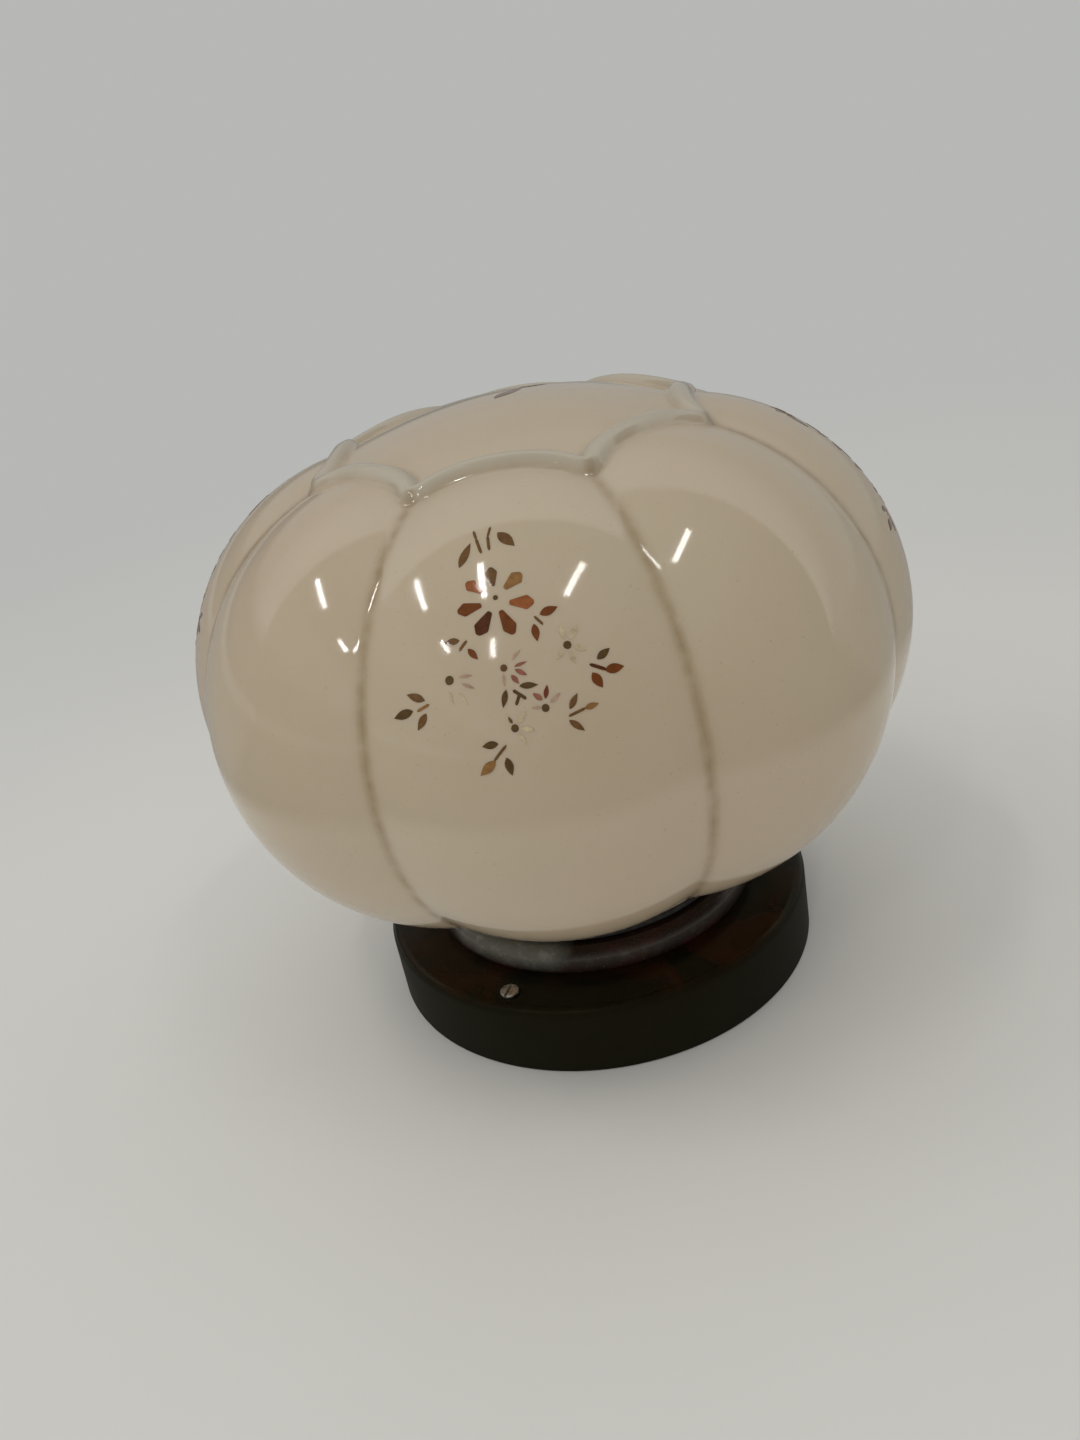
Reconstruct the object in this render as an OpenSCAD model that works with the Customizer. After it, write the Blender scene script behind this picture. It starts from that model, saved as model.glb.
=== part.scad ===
// Ceiling lamp: a lobed opal glass shade that screws into a moulded round base.
// Drawn as it stands on a bench, with the ceiling face on z = 0 and the glass above it.

/* [Base] */
// Outer diameter of the moulded base
base_d = 176; // [160:1:200]
// Height of the base from the ceiling face to its top
base_h = 28.5; // [26:0.5:40]
// Thickness of the base's side wall
base_wall = 4; // [3:0.25:6]
// Thickness of the base's top plate
base_top = 3.5; // [3:0.25:5]
// Radius of the rounded edge between wall and top
rim_round = 4; // [2:0.25:6]

/* [Collar] */
// Outer diameter of the threaded collar
collar_d = 133; // [128:0.5:140]
// Width of the collar's ring, from its bore to its outer edge
collar_w = 12.1; // [11:0.1:13]
// Height of the collar above the base's top
collar_h = 9.5; // [8:0.5:14]
// Radius of the collar's rounded outer shoulder
collar_round = 6; // [3:0.25:7]
// Diameter of the collar screws' threads
collar_screw_d = 3.5; // [3:0.1:4]
// Distance of the collar screws from the collar's outer edge
collar_screw_inset = 3.2; // [2.8:0.1:4]
// Depth to which the collar screws reach into the collar
collar_screw_bite = 6; // [4:0.5:7]

/* [Glass shade] */
// Diameter across the lobes
globe_d = 271.4; // [264:0.2:280]
// Radius of each ball-shaped lobe
lobe_r = 83.7; // [80:0.1:88]
// Number of lobes
lobe_count = 8; // [8:1:10]
// Height of the lobes' centres above the glass seat
equator_rise = 96; // [94:0.5:102]
// Height of the crown above the lobes' centres
crown_rise = 93.8; // [92:0.1:97]
// Diameter of the domed cap, between the points of its bead
cap_d = 145.7; // [142:0.1:150]
// Thickness of the glass
glass_t = 4; // [3:0.25:5]
// Thickness of the raised bead round the cap
bead_d = 5.5; // [4:0.25:7]
// Length of the neck below the glass seat
neck_l = 14.8; // [12:0.2:15]
// Distance of the glass seat's edge from the collar's edge
seat_inset = 6.5; // [6:0.25:8]
// Height of the seat's upright edge
seat_h = 2.7; // [2:0.1:4]
// Thickness of the gasket
gasket_t = 2.5; // [1.5:0.25:4]
// Rise of the shade for each turn
shade_pitch = 6; // [5:0.25:7]
// Height of the shade's thread ridge
shade_ridge = 2.4; // [2:0.1:2.6]
// Turns of thread ridge on the neck
shade_turns = 1.25; // [1:0.05:1.5]

/* [Lampholder] */
// Outer diameter of the lampholder
holder_d = 39; // [38:0.5:44]
// Height of the lampholder's cap
holder_cap_h = 14; // [13.5:0.5:18]
// Height of the lampholder's skirt
holder_skirt_h = 27; // [26:0.5:32]
// Wall of the lampholder
holder_wall = 2.2; // [1.8:0.1:2.4]
// Thickness of the ceramic insert
insert_h = 8; // [7:0.5:9]
// Thread diameter of the hollow nipple
nipple_d = 10; // [9:0.5:12]
// Wiring bore of the nipple
nipple_bore = 7.5; // [6.5:0.1:7.6]
// Length of the nipple
nipple_l = 15; // [14.5:0.5:16]
// Thickness of the bridge that carries the lampholder
bridge_t = 2; // [1.5:0.1:2.5]
// Width of the bridge
bridge_w = 24; // [18:0.5:30]

/* [Bulb] */
// Diameter of the bulb
bulb_d = 60; // [50:1:64]
// Length of the bulb with its cap
bulb_l = 105; // [98:1:120]
// Outside diameter of the bulb cap's thread
cap_thread_d = 26.4; // [26:0.1:26.6]
// Rise of the bulb for each turn
cap_pitch = 3.629; // [3.6:0.001:3.7]
// Length of the bulb's screw cap
cap_l = 20; // [18:0.5:22]
// Thickness of the bulb's glass
bulb_t = 1; // [0.6:0.1:1.5]

/* [Ceiling strap] */
// Width of the strap
strap_w = 20; // [16:0.5:26]
// Thickness of the strap
strap_t = 2; // [1.5:0.1:3]
// Distance between the two ceiling screw holes
strap_pcd = 60; // [50:1:70]
// Diameter of the ceiling screw holes
strap_hole_d = 5; // [4:0.1:6]
// Diameter of the cable entry
cable_entry_d = 14; // [10:0.5:18]
// Direction of the strap, seen from above
strap_angle = -114; // [-180:1:180]
// Thread diameter of the two cover screws
cover_screw_d = 4; // [3.5:0.1:5]
// Head diameter of the cover screws
cover_head_d = 7.4; // [6.5:0.1:8]
// Distance of the cover screws from the base's edge
cover_screw_inset = 8.5; // [8:0.25:10]

/* [Terminal block] */
// Length of the terminal block along the strap
block_l = 22; // [20:0.5:28]
// Width of the terminal block
block_w = 18; // [17:0.5:22]
// Height of the terminal block
block_h = 13; // [12:0.5:16]
// Distance from the middle to the terminal block
block_x = 50; // [48:0.5:56]
// Distance between the two terminals
block_pitch = 9; // [8:0.25:10]
// Diameter of an insulated wire
wire_d = 2.2; // [1.8:0.1:2.4]

/* [Hidden] */
$fn = 96;

// Clearances
slip = 0.3;
thread_play = 0.1;
shade_play = 0.5;
cap_play = 0.3;
eps = 0.5;

// Base and collar
base_r = base_d / 2;
plate_z = base_h - base_top;
collar_top = base_h + collar_h;
collar_r = collar_d / 2;
seat_r = collar_r - seat_inset;
collar_bore_r = collar_r - collar_w;
ridge_grip = 1;
neck_r = collar_bore_r - shade_ridge + ridge_grip;
collar_groove_r = neck_r + shade_ridge + shade_play;
collar_shoulder = min(collar_round, (collar_r - collar_bore_r) / 2);
hatch_r = (collar_bore_r + collar_r) / 2;
skirt_r = hatch_r - slip;
collar_screw_r = collar_screw_d / 2;
collar_screw_pcd = 2 * collar_r - 2 * min(collar_screw_inset, (collar_r - collar_groove_r) / 2);
cover_screw_r = base_r - cover_screw_inset;
collar_head_h = 2.4;
bridge_angle = strap_angle + 90;

// Glass
seat_z = collar_top + gasket_t + 2 * slip;
equator_z = seat_z + equator_rise;
lobe_e = globe_d / 2 - lobe_r;
lobe_step = 360 / lobe_count;
lobe_first = -90;
crown_z = equator_z + crown_rise;
neck_bore_r = neck_r - glass_t;
// The seat flares up until its rim lies a little inside the lobes' balls
seat_flare = 10;
lobe_sink = 1.94;
flare_r = seat_r + seat_flare;
flare_z = equator_z - sqrt(pow(lobe_r, 2) - pow(flare_r - lobe_e, 2)) + lobe_sink;
hollow_over = 8;
core_over = 10;
// The cap's ball goes through the crown and through the points where bead and groove meet
point_r = cap_d / 2;
point_rise = sqrt(pow(lobe_r, 2) - pow(point_r, 2) + 2 * point_r * lobe_e * cos(lobe_step / 2) - pow(lobe_e, 2));
cap_sag = crown_rise - point_rise;
cap_r = (pow(point_r, 2) + pow(cap_sag, 2)) / (2 * cap_sag);
cap_z = crown_z - cap_r;
cap_blank_r = point_r + bead_d / 2 + slip;
// The bead follows the circle where a lobe's ball meets the cap's ball
ball_gap = norm([lobe_e, equator_z - cap_z]);
bead_lift = (pow(ball_gap, 2) + pow(cap_r, 2) - pow(lobe_r, 2)) / (2 * ball_gap);
bead_ring_r = sqrt(pow(cap_r, 2) - pow(bead_lift, 2));
bead_nick = 0.05;
bead_lean = atan2(lobe_e, equator_z - cap_z);
bead_slant = tan(lobe_step / 2) * cos(bead_lean);
bead_half = asin(tan(lobe_step / 2) * bead_lift * sin(bead_lean) / (bead_ring_r * norm([1, bead_slant])))
  - atan(bead_slant);

// Threads
shade_thread_steps = 60;
shade_ridge_w = 3.4;
shade_crest_w = 1.6;
shade_thread_z = seat_z - neck_l + shade_ridge_w / 2 + slip;
cap_thread_steps = 30;
cap_crest_r = cap_thread_d / 2;
cap_ridge = 1.1;
cap_root_r = cap_crest_r - cap_ridge;
cap_ridge_w = 2.1;
cap_crest_w = 0.8;

// Lampholder, from the bridge upwards
bridge_z = plate_z - bridge_t;
bridge_half = collar_screw_pcd / 2 + 5;
nipple_r = nipple_d / 2;
washer_t = 1;
nut_h = 4;
nut_af = 14;
nipple_z = bridge_z - washer_t - nut_h - 2;
holder_r = holder_d / 2;
holder_floor = 4;
insert_r = holder_r - holder_wall - slip / 2;
ledge_r = insert_r - 2;
holder_top_z = plate_z + holder_cap_h;
insert_z = holder_top_z - insert_h + 3;
insert_top = insert_z + insert_h;
shell_bore_r = cap_root_r + cap_play + 0.05;
shell_t = 2;
shell_r = shell_bore_r + shell_t;
flange_t = 1;
flange_r = min(shell_r + 1.6, insert_r);
shell_h = 21;
contact_t = 0.6;
contact_rise = 1.7;
holder_screw_x = 9;
holder_screw_d = 3;
holder_head_d = 5.5;
holder_head_h = 2;
side_strip_w = 5;
side_strip_r = min(flange_r - 1.2, ledge_r - slip);

// Bulb, from its tip upwards
tip_z = insert_top + contact_rise + slip;
tip_h = 1.6;
tip_r = 4.8;
insulator_h = 3.4;
cap_z0 = tip_z + tip_h + insulator_h;
cap_top = cap_z0 + cap_l;
cap_t = 0.8;
plug_r = cap_root_r - cap_t - thread_play;
plug_h = 10;
bulb_r = bulb_d / 2;
bulb_centre = tip_z + bulb_l - bulb_r;
bulb_neck_r = cap_crest_r + 1;
cap_thread_turns = 4;
cap_thread_z = cap_z0 + cap_ridge_w / 2 + 1;
stem_r = 3.5;
stem_drop = 22;
stem_top = bulb_centre - stem_drop;
lead_gap = 2.2;
lead_r = 0.5;
arm_r = 11;
filament_r = 0.35;
filament_drop = 6;
filament_z = bulb_centre - filament_drop;

// Strap and cover screws
strap_half = base_r - base_wall - 1.5;
boss_r = 4.2;
boss_h = 4;
cover_head_h = 3;
cover_tip_z = 0.5;

// Terminal block
clamp_r = 2.6;
clamp_bore = wire_d + 0.4;
clamp_z = strap_t + block_h / 2;
clamp_screw_d = 2.5;
clamp_screw_x = 5.5;
clamp_head_h = 1.8;
block_screw_d = 2.6;
block_head_d = 4.4;

// Routes of the two wires, along the strap, across it and up: from the block to the lampholder
wire_half = block_pitch / 2;
wire_up = nipple_bore / 4 - 0.35;
lug_z = insert_z - wire_d / 2 - 0.1;
wire_route = [
  [-block_x, wire_half, clamp_z], [-block_x + 6, wire_half, clamp_z], [-block_x + 12, wire_half, clamp_z],
  [-30, 4, clamp_z], [-22, 3.4, clamp_z], [-14, 2.7, clamp_z + 0.4], [-7.5, 2.1, clamp_z + 1.6],
  [-3, 1.7, clamp_z + 4], [-0.8, wire_up, clamp_z + 6.8], [0, wire_up, clamp_z + 10],
  [0, wire_up, clamp_z + 15], [0, wire_up, lug_z - 3.6], [0, wire_up + 0.4, lug_z - 1.8],
  [0, wire_up + 1.6, lug_z - 0.4], [0, wire_up + 3, lug_z],
  [0, holder_screw_x - holder_head_d / 2 - 0.3, lug_z]
];

// Builds a body of triangles from rings of points that all have the same count
module skin(rings) {
  n = len(rings);
  k = len(rings[0]);
  pts = [for (r = rings) for (p = r) p];
  sides = [
    for (i = [0 : n - 2]) for (j = [0 : k - 1])
      let (a = i * k + j, b = i * k + (j + 1) % k)
        each [[a, b, b + k], [a, b + k, a + k]]
  ];
  low = [for (j = [1 : k - 2]) [0, j + 1, j]];
  high = [for (j = [1 : k - 2]) [(n - 1) * k, (n - 1) * k + j, (n - 1) * k + j + 1]];
  polyhedron(pts, concat(sides, low, high), convexity = 8);
}

// A right-handed thread ridge that starts at z = 0 and climbs one pitch a turn
module thread_ridge(root, crest, root_w, crest_w, pitch, turns, steps) {
  section = [[root, -root_w / 2], [crest, -crest_w / 2], [crest, crest_w / 2], [root, root_w / 2]];
  skin([
    for (i = [0 : ceil(turns * steps)])
      let (a = 360 * i / steps)
        [for (p = section) [p[0] * cos(a), p[0] * sin(a), pitch * i / steps + p[1]]]
  ]);
}

function unit(v) = v / norm(v);

// A round tube along a list of points
module tube_along(route, d) {
  n = len(route);
  side_count = 8;
  skin([
    for (i = [0 : n - 1])
      let (
        t = unit(route[min(i + 1, n - 1)] - route[max(i - 1, 0)]),
        u = unit(cross(t, [0.1, 1, 0.2])),
        v = cross(t, u)
      )
        [for (j = [0 : side_count - 1])
          route[i] + d / 2 * (u * cos(360 * j / side_count) + v * sin(360 * j / side_count))]
  ]);
}

// A straight drilled hole or rod between two heights
module post(r, z0, z1, x = 0, y = 0) {
  translate([x, y, z0])
    cylinder(r = r, h = z1 - z0);
}

module along_strap() {
  rotate([0, 0, strap_angle])
    children();
}

// The places of the two cover screws, on the strap
module cover_places() {
  along_strap()
    for (s = [-1, 1])
      translate([s * cover_screw_r, 0, 0])
        children();
}

// The places of the two collar screws, on the bridge
module collar_places() {
  rotate([0, 0, bridge_angle])
    for (s = [-1, 1])
      translate([s * collar_screw_pcd / 2, 0, 0])
        children();
}

// Section of the base: side wall, rounded rim and top plate
module base_section() {
  difference() {
    union() {
      square([base_r - rim_round, base_h]);
      square([base_r, base_h - rim_round]);
      translate([base_r - rim_round, base_h - rim_round])
        circle(r = rim_round);
    }
    translate([0, -1])
      square([base_r - base_wall, plate_z + 1]);
    square([hatch_r, base_h + 1]);
  }
}

module base_body() {
  color([0.13, 0.1, 0.08])
    difference() {
      rotate_extrude()
        base_section();
      cover_places()
        post(cover_screw_d / 2 + slip, plate_z - 1, base_h + 1);
      collar_places()
        post(collar_screw_r + slip, plate_z - 1, base_h + 1);
    }
}

// Section of the collar: a skirt in the base's hatch and a flange with a rounded shoulder
module collar_section() {
  translate([collar_bore_r, plate_z])
    square([skirt_r - collar_bore_r, base_top + eps]);
  translate([collar_bore_r, base_h])
    square([collar_r - collar_bore_r, collar_h - collar_shoulder]);
  translate([collar_bore_r, base_h])
    square([collar_r - collar_shoulder - collar_bore_r, collar_h]);
  intersection() {
    translate([collar_r - collar_shoulder, collar_top - collar_shoulder])
      circle(r = collar_shoulder);
    translate([collar_bore_r, base_h])
      square([collar_r, collar_h + eps]);
  }
}

module collar_ring() {
  groove_w = shade_ridge_w + 2 * shade_play;
  groove_z = shade_thread_z - shade_pitch / 2;
  color([0.24, 0.22, 0.22])
    difference() {
      intersection() {
        rotate_extrude()
          collar_section();
        post(collar_r + 1, plate_z, collar_top);
      }
      rotate([0, 0, -180])
        translate([0, 0, groove_z])
          thread_ridge(
            collar_bore_r - 1, collar_groove_r, groove_w, shade_crest_w + 2 * shade_play,
            shade_pitch, (collar_top - groove_z) / shade_pitch + 0.5, shade_thread_steps
          );
      collar_places()
        post(collar_screw_r + thread_play, plate_z - 1, base_h + collar_screw_bite + slip);
    }
}

module collar_screws() {
  color([0.72, 0.72, 0.7])
    collar_places() {
      post(collar_screw_r, bridge_z - eps, base_h + collar_screw_bite);
      difference() {
        post(collar_screw_r * 1.9, bridge_z - collar_head_h, bridge_z);
        translate([-collar_screw_d, -0.4, bridge_z - collar_head_h - eps])
          cube([2 * collar_screw_d, 0.8, 1 + eps]);
      }
    }
}

// Round-headed slotted screws that hold the base to the strap
module cover_screws() {
  head_r = cover_head_d / 2;
  ball_r = (pow(head_r, 2) + pow(cover_head_h, 2)) / (2 * cover_head_h);
  color([0.8, 0.79, 0.75])
    cover_places() {
      post(cover_screw_d / 2, cover_tip_z, base_h + eps);
      difference() {
        intersection() {
          translate([0, 0, base_h + cover_head_h - ball_r])
            sphere(r = ball_r);
          post(head_r, base_h, base_h + cover_head_h);
        }
        translate([-head_r, -0.5, base_h + cover_head_h - 1.4])
          cube([2 * head_r, 1, 2]);
      }
    }
}

module mounting_strap() {
  color([0.62, 0.62, 0.6])
    along_strap()
      difference() {
        union() {
          translate([-strap_half, -strap_w / 2, 0])
            cube([2 * strap_half, strap_w, strap_t]);
          for (s = [-1, 1])
            post(min(boss_r, strap_half - cover_screw_r), strap_t - eps, strap_t + boss_h, s * cover_screw_r);
        }
        for (s = [-1, 1]) {
          post(cover_screw_d / 2 + thread_play, -1, strap_t + boss_h + 1, s * cover_screw_r);
          post(strap_hole_d / 2, -1, strap_t + 1, s * strap_pcd / 2);
        }
        post(cable_entry_d / 2, -1, strap_t + 1);
        post(block_screw_d / 2 + thread_play, -1, strap_t + 1, -block_x);
      }
}

module holder_bridge() {
  color([0.66, 0.65, 0.62])
    rotate([0, 0, bridge_angle])
      difference() {
        translate([-bridge_half, -bridge_w / 2, bridge_z])
          cube([2 * bridge_half, bridge_w, bridge_t]);
        post(nipple_r + slip, bridge_z - 1, plate_z + 1);
        for (s = [-1, 1])
          post(collar_screw_r + slip, bridge_z - 1, plate_z + 1, s * collar_screw_pcd / 2);
      }
}

module nipple() {
  color([0.75, 0.6, 0.3])
    difference() {
      post(nipple_r, nipple_z, nipple_z + nipple_l);
      post(nipple_bore / 2, nipple_z - 1, nipple_z + nipple_l + 1);
    }
}

module nipple_nut() {
  color([0.75, 0.6, 0.3])
    difference() {
      translate([0, 0, bridge_z - washer_t - nut_h])
        cylinder(r = nut_af / 2 / cos(30), h = nut_h, $fn = 6);
      post(nipple_r + thread_play, bridge_z - washer_t - nut_h - 1, bridge_z);
    }
}

module nipple_washer() {
  color([0.7, 0.7, 0.68])
    difference() {
      post(nut_af / 2 + 1, bridge_z - washer_t, bridge_z);
      post(nipple_r + slip, bridge_z - washer_t - 1, bridge_z + 1);
    }
}

module holder_cap() {
  color([0.1, 0.09, 0.08])
    difference() {
      post(holder_r, plate_z, holder_top_z);
      post(ledge_r, plate_z + holder_floor, holder_top_z + 1);
      post(insert_r + slip / 2, insert_z, holder_top_z + 1);
      post(nipple_r + thread_play, plate_z - 1, plate_z + holder_floor + 1);
    }
}

module holder_skirt() {
  shoulder_z = insert_top + flange_t;
  color([0.1, 0.09, 0.08])
    difference() {
      post(holder_r, holder_top_z, holder_top_z + holder_skirt_h);
      post(insert_r + slip / 2, holder_top_z - 1, shoulder_z);
      post(shell_r + slip, holder_top_z - 1, holder_top_z + holder_skirt_h + 1);
    }
}

module holder_insert() {
  color([0.92, 0.9, 0.85])
    along_strap()
      difference() {
        post(insert_r, insert_z, insert_top);
        translate([side_strip_r - contact_t - thread_play, -side_strip_w / 2 - thread_play, insert_z - 1])
          cube([contact_t + 2 * thread_play, side_strip_w + 2 * thread_play, insert_h + 2]);
        for (s = [-1, 1])
          post(holder_screw_d / 2 + thread_play, insert_z - 1, insert_z + insert_h - 2, 0, s * holder_screw_x);
      }
}

// Brass shell whose inner thread takes the bulb's cap
module thread_shell() {
  shell_z = insert_top + flange_t;
  groove_z = cap_thread_z - cap_pitch * 1;
  color([0.8, 0.64, 0.3])
    difference() {
      union() {
        post(flange_r, insert_top, shell_z);
        post(shell_r, insert_top, shell_z + shell_h);
      }
      post(shell_bore_r, insert_top - 1, shell_z + shell_h + 1);
      translate([0, 0, groove_z])
        thread_ridge(
          shell_bore_r - 0.6, cap_crest_r + cap_play, cap_ridge_w + 2 * cap_play, cap_crest_w + 2 * cap_play,
          cap_pitch, (shell_z + shell_h - groove_z) / cap_pitch + 0.5, cap_thread_steps
        );
    }
}

module centre_contact() {
  strip_l = shell_bore_r - 1.2;
  color([0.78, 0.62, 0.36])
    along_strap() {
      translate([-strip_l, -side_strip_w / 2, insert_top])
        cube([strip_l + 4, side_strip_w, contact_t]);
      intersection() {
        translate([0, 0, insert_top + contact_rise - 5])
          sphere(r = 5);
        post(3, insert_top + contact_t / 2, insert_top + contact_rise);
      }
    }
}

module side_contact() {
  color([0.78, 0.62, 0.36])
    along_strap()
      translate([side_strip_r - contact_t, -side_strip_w / 2, insert_z - 3])
        cube([contact_t, side_strip_w, insert_h + 3]);
}

module holder_screws() {
  color([0.75, 0.6, 0.3])
    along_strap()
      for (s = [-1, 1])
        difference() {
          union() {
            post(holder_screw_d / 2, insert_z - eps, insert_z + insert_h - 3, 0, s * holder_screw_x);
            post(holder_head_d / 2, insert_z - holder_head_h, insert_z, 0, s * holder_screw_x);
          }
          translate([-holder_head_d, s * holder_screw_x - 0.35, insert_z - holder_head_h - eps])
            cube([2 * holder_head_d, 0.7, 0.8 + eps]);
        }
}

// Ceramic two-way block with a barrel clamp for each wire
module terminal_block() {
  top = strap_t + block_h;
  color([0.9, 0.88, 0.82])
    along_strap()
      difference() {
        translate([-block_x - block_l / 2, -block_w / 2, strap_t])
          cube([block_l, block_w, block_h]);
        for (s = [-1, 1]) {
          translate([-block_x - block_l / 2 - 1, s * block_pitch / 2, clamp_z])
            rotate([0, 90, 0])
              cylinder(r = clamp_r + thread_play, h = block_l + 2);
          for (e = [-1, 1])
            post(clamp_screw_d / 2 + slip, clamp_z, top + 1, -block_x + e * clamp_screw_x, s * block_pitch / 2);
        }
        post(block_screw_d / 2 + thread_play, strap_t - 1, top + 1, -block_x);
        post(block_head_d / 2 + thread_play, top - 3, top + 1, -block_x);
      }
}

module terminal_clamps() {
  color([0.8, 0.64, 0.3])
    along_strap()
      for (s = [-1, 1])
        difference() {
          translate([-block_x - block_l / 2 + 1.5, s * block_pitch / 2, clamp_z])
            rotate([0, 90, 0])
              cylinder(r = clamp_r, h = block_l - 3);
          translate([-block_x - block_l, s * block_pitch / 2, clamp_z])
            rotate([0, 90, 0])
              cylinder(r = clamp_bore / 2, h = 2 * block_l);
          for (e = [-1, 1])
            post(clamp_screw_d / 2 + thread_play, clamp_z, clamp_z + 2 * clamp_r,
              -block_x + e * clamp_screw_x, s * block_pitch / 2);
        }
}

module terminal_screws() {
  color([0.7, 0.7, 0.68])
    along_strap()
      for (s = [-1, 1])
        for (e = [-1, 1])
          translate([-block_x + e * clamp_screw_x, s * block_pitch / 2, 0])
            difference() {
              post(clamp_screw_d / 2, clamp_z + wire_d / 2 + thread_play, strap_t + block_h - 0.5);
              translate([-clamp_screw_d, -0.3, strap_t + block_h - 1.3])
                cube([2 * clamp_screw_d, 0.6, 2]);
            }
}

module block_screw() {
  top = strap_t + block_h - 3;
  color([0.7, 0.7, 0.68])
    along_strap()
      translate([-block_x, 0, 0])
        difference() {
          union() {
            post(block_screw_d / 2, strap_t / 4, top + eps);
            post(block_head_d / 2, top, top + clamp_head_h);
          }
          translate([-block_head_d, -0.35, top + clamp_head_h - 0.8])
            cube([2 * block_head_d, 0.7, 2]);
        }
}

module live_wire() {
  color([0.35, 0.2, 0.12])
    along_strap()
      tube_along(wire_route, wire_d);
}

module neutral_wire() {
  color([0.25, 0.35, 0.5])
    along_strap()
      tube_along([for (p = wire_route) [p[0], -p[1], p[2]]], wire_d);
}

module shade_gasket() {
  color([0.2, 0.19, 0.18])
    rotate_extrude()
      translate([collar_bore_r + 0.6, collar_top + slip])
        square([min(seat_r, collar_r - collar_shoulder) - collar_bore_r - 0.6, gasket_t]);
}

// The balls that make the lobes, each cut to its own sector and smaller by the wall for the hollow
module lobe_balls(inset) {
  reach = globe_d;
  core = neck_bore_r * 0.8;
  spread = tan(lobe_step / 2 + 3);
  for (i = [0 : lobe_count - 1])
    rotate([0, 0, lobe_first + i * lobe_step])
      intersection() {
        translate([lobe_e, 0, equator_z])
          sphere(r = lobe_r - inset);
        translate([0, 0, equator_z - reach / 2])
          linear_extrude(reach)
            polygon([[core, -core * spread], [reach, -reach * spread], [reach, reach * spread], [core, core * spread]]);
      }
}

// The domed cap, smaller by the wall for the hollow
module cap_dome(inset) {
  intersection() {
    translate([0, 0, cap_z])
      sphere(r = cap_r - inset);
    post(cap_blank_r - inset, equator_z, crown_z + 1);
  }
}

// One arch of the raised bead, cut off just short of the groove on either side
module bead_arch() {
  reach = globe_d;
  spread = reach * tan(lobe_step / 2);
  overlap = 8;
  intersection() {
    translate([0, 0, cap_z])
      rotate([0, bead_lean, 0])
        translate([0, 0, bead_lift])
          rotate([0, 0, 180 - bead_half - overlap])
            rotate_extrude(angle = 2 * (bead_half + overlap))
              translate([bead_ring_r, 0])
                circle(d = bead_d);
    translate([bead_nick / sin(lobe_step / 2), 0, equator_z + lobe_r / 2])
      linear_extrude(crown_rise)
        polygon([[0, 0], [reach, -spread], [reach, spread]]);
  }
}

// Section of the neck and of the seat that flares up into the lobes
module neck_section() {
  polygon([
    [0, seat_z - neck_l], [neck_r, seat_z - neck_l], [neck_r, seat_z], [seat_r, seat_z],
    [seat_r, seat_z + seat_h], [flare_r, flare_z], [0, flare_z]
  ]);
}

module neck_hollow_section() {
  rise = flare_z + hollow_over;
  polygon([
    [0, seat_z - neck_l - 1], [neck_bore_r, seat_z - neck_l - 1], [neck_bore_r, seat_z + glass_t],
    [flare_r - glass_t * 1.5, flare_z + 1],
    [neck_bore_r, rise], [neck_bore_r, equator_z], [0, equator_z]
  ]);
}

module glass_shade() {
  color([0.86, 0.8, 0.7]) {
    difference() {
      union() {
        lobe_balls(0);
        cap_dome(0);
        post(neck_bore_r + 1, seat_z, equator_z + core_over);
        rotate_extrude()
          neck_section();
      }
      lobe_balls(glass_t);
      cap_dome(glass_t);
      rotate_extrude()
        neck_hollow_section();
    }
    for (i = [0 : lobe_count - 1])
      rotate([0, 0, lobe_first + i * lobe_step])
        bead_arch();
    translate([0, 0, shade_thread_z])
      thread_ridge(
        neck_r - 0.6, neck_r + shade_ridge, shade_ridge_w, shade_crest_w,
        shade_pitch, shade_turns, shade_thread_steps
      );
  }
}

// The bulb's glass as a full body, smaller by the wall for the hollow
module bulb_body(inset) {
  waist = 14;
  neck_top = cap_top + 6;
  belly = sqrt(pow(bulb_r, 2) - pow(waist, 2));
  translate([0, 0, bulb_centre])
    sphere(r = bulb_r - inset);
  translate([0, 0, neck_top])
    cylinder(r1 = bulb_neck_r - inset, r2 = belly - inset - 0.4, h = bulb_centre - waist + 2 - neck_top);
  post(bulb_neck_r - inset, cap_top + slip + inset, neck_top + eps);
  post(plug_r - inset, cap_top - plug_h + inset, neck_top);
}

module bulb_glass() {
  color([0.95, 0.95, 0.93])
    difference() {
      bulb_body(0);
      bulb_body(bulb_t);
    }
}

module bulb_cap() {
  color([0.78, 0.76, 0.7]) {
    difference() {
      post(cap_root_r, cap_z0, cap_top);
      post(cap_root_r - cap_t, cap_z0 - 1, cap_top + 1);
    }
    translate([0, 0, cap_thread_z])
      thread_ridge(
        cap_root_r - cap_t / 2, cap_crest_r, cap_ridge_w, cap_crest_w,
        cap_pitch, cap_thread_turns, cap_thread_steps
      );
  }
}

module bulb_insulator() {
  color([0.08, 0.08, 0.09])
    translate([0, 0, tip_z + tip_h])
      cylinder(r1 = tip_r + 0.8, r2 = cap_root_r, h = insulator_h);
}

module bulb_tip() {
  color([0.7, 0.7, 0.72])
    translate([0, 0, tip_z])
      cylinder(r1 = tip_r - 1.2, r2 = tip_r, h = tip_h);
}

module bulb_stem() {
  foot = cap_top - plug_h + bulb_t;
  color([0.85, 0.88, 0.88]) {
    post(plug_r - bulb_t - 1, foot, foot + 2);
    post(stem_r, foot, stem_top);
  }
}

module filament() {
  color([0.4, 0.4, 0.42])
    translate([0, 0, filament_z])
      rotate_extrude(angle = 180)
        translate([arm_r, 0])
          circle(r = filament_r);
}

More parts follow.
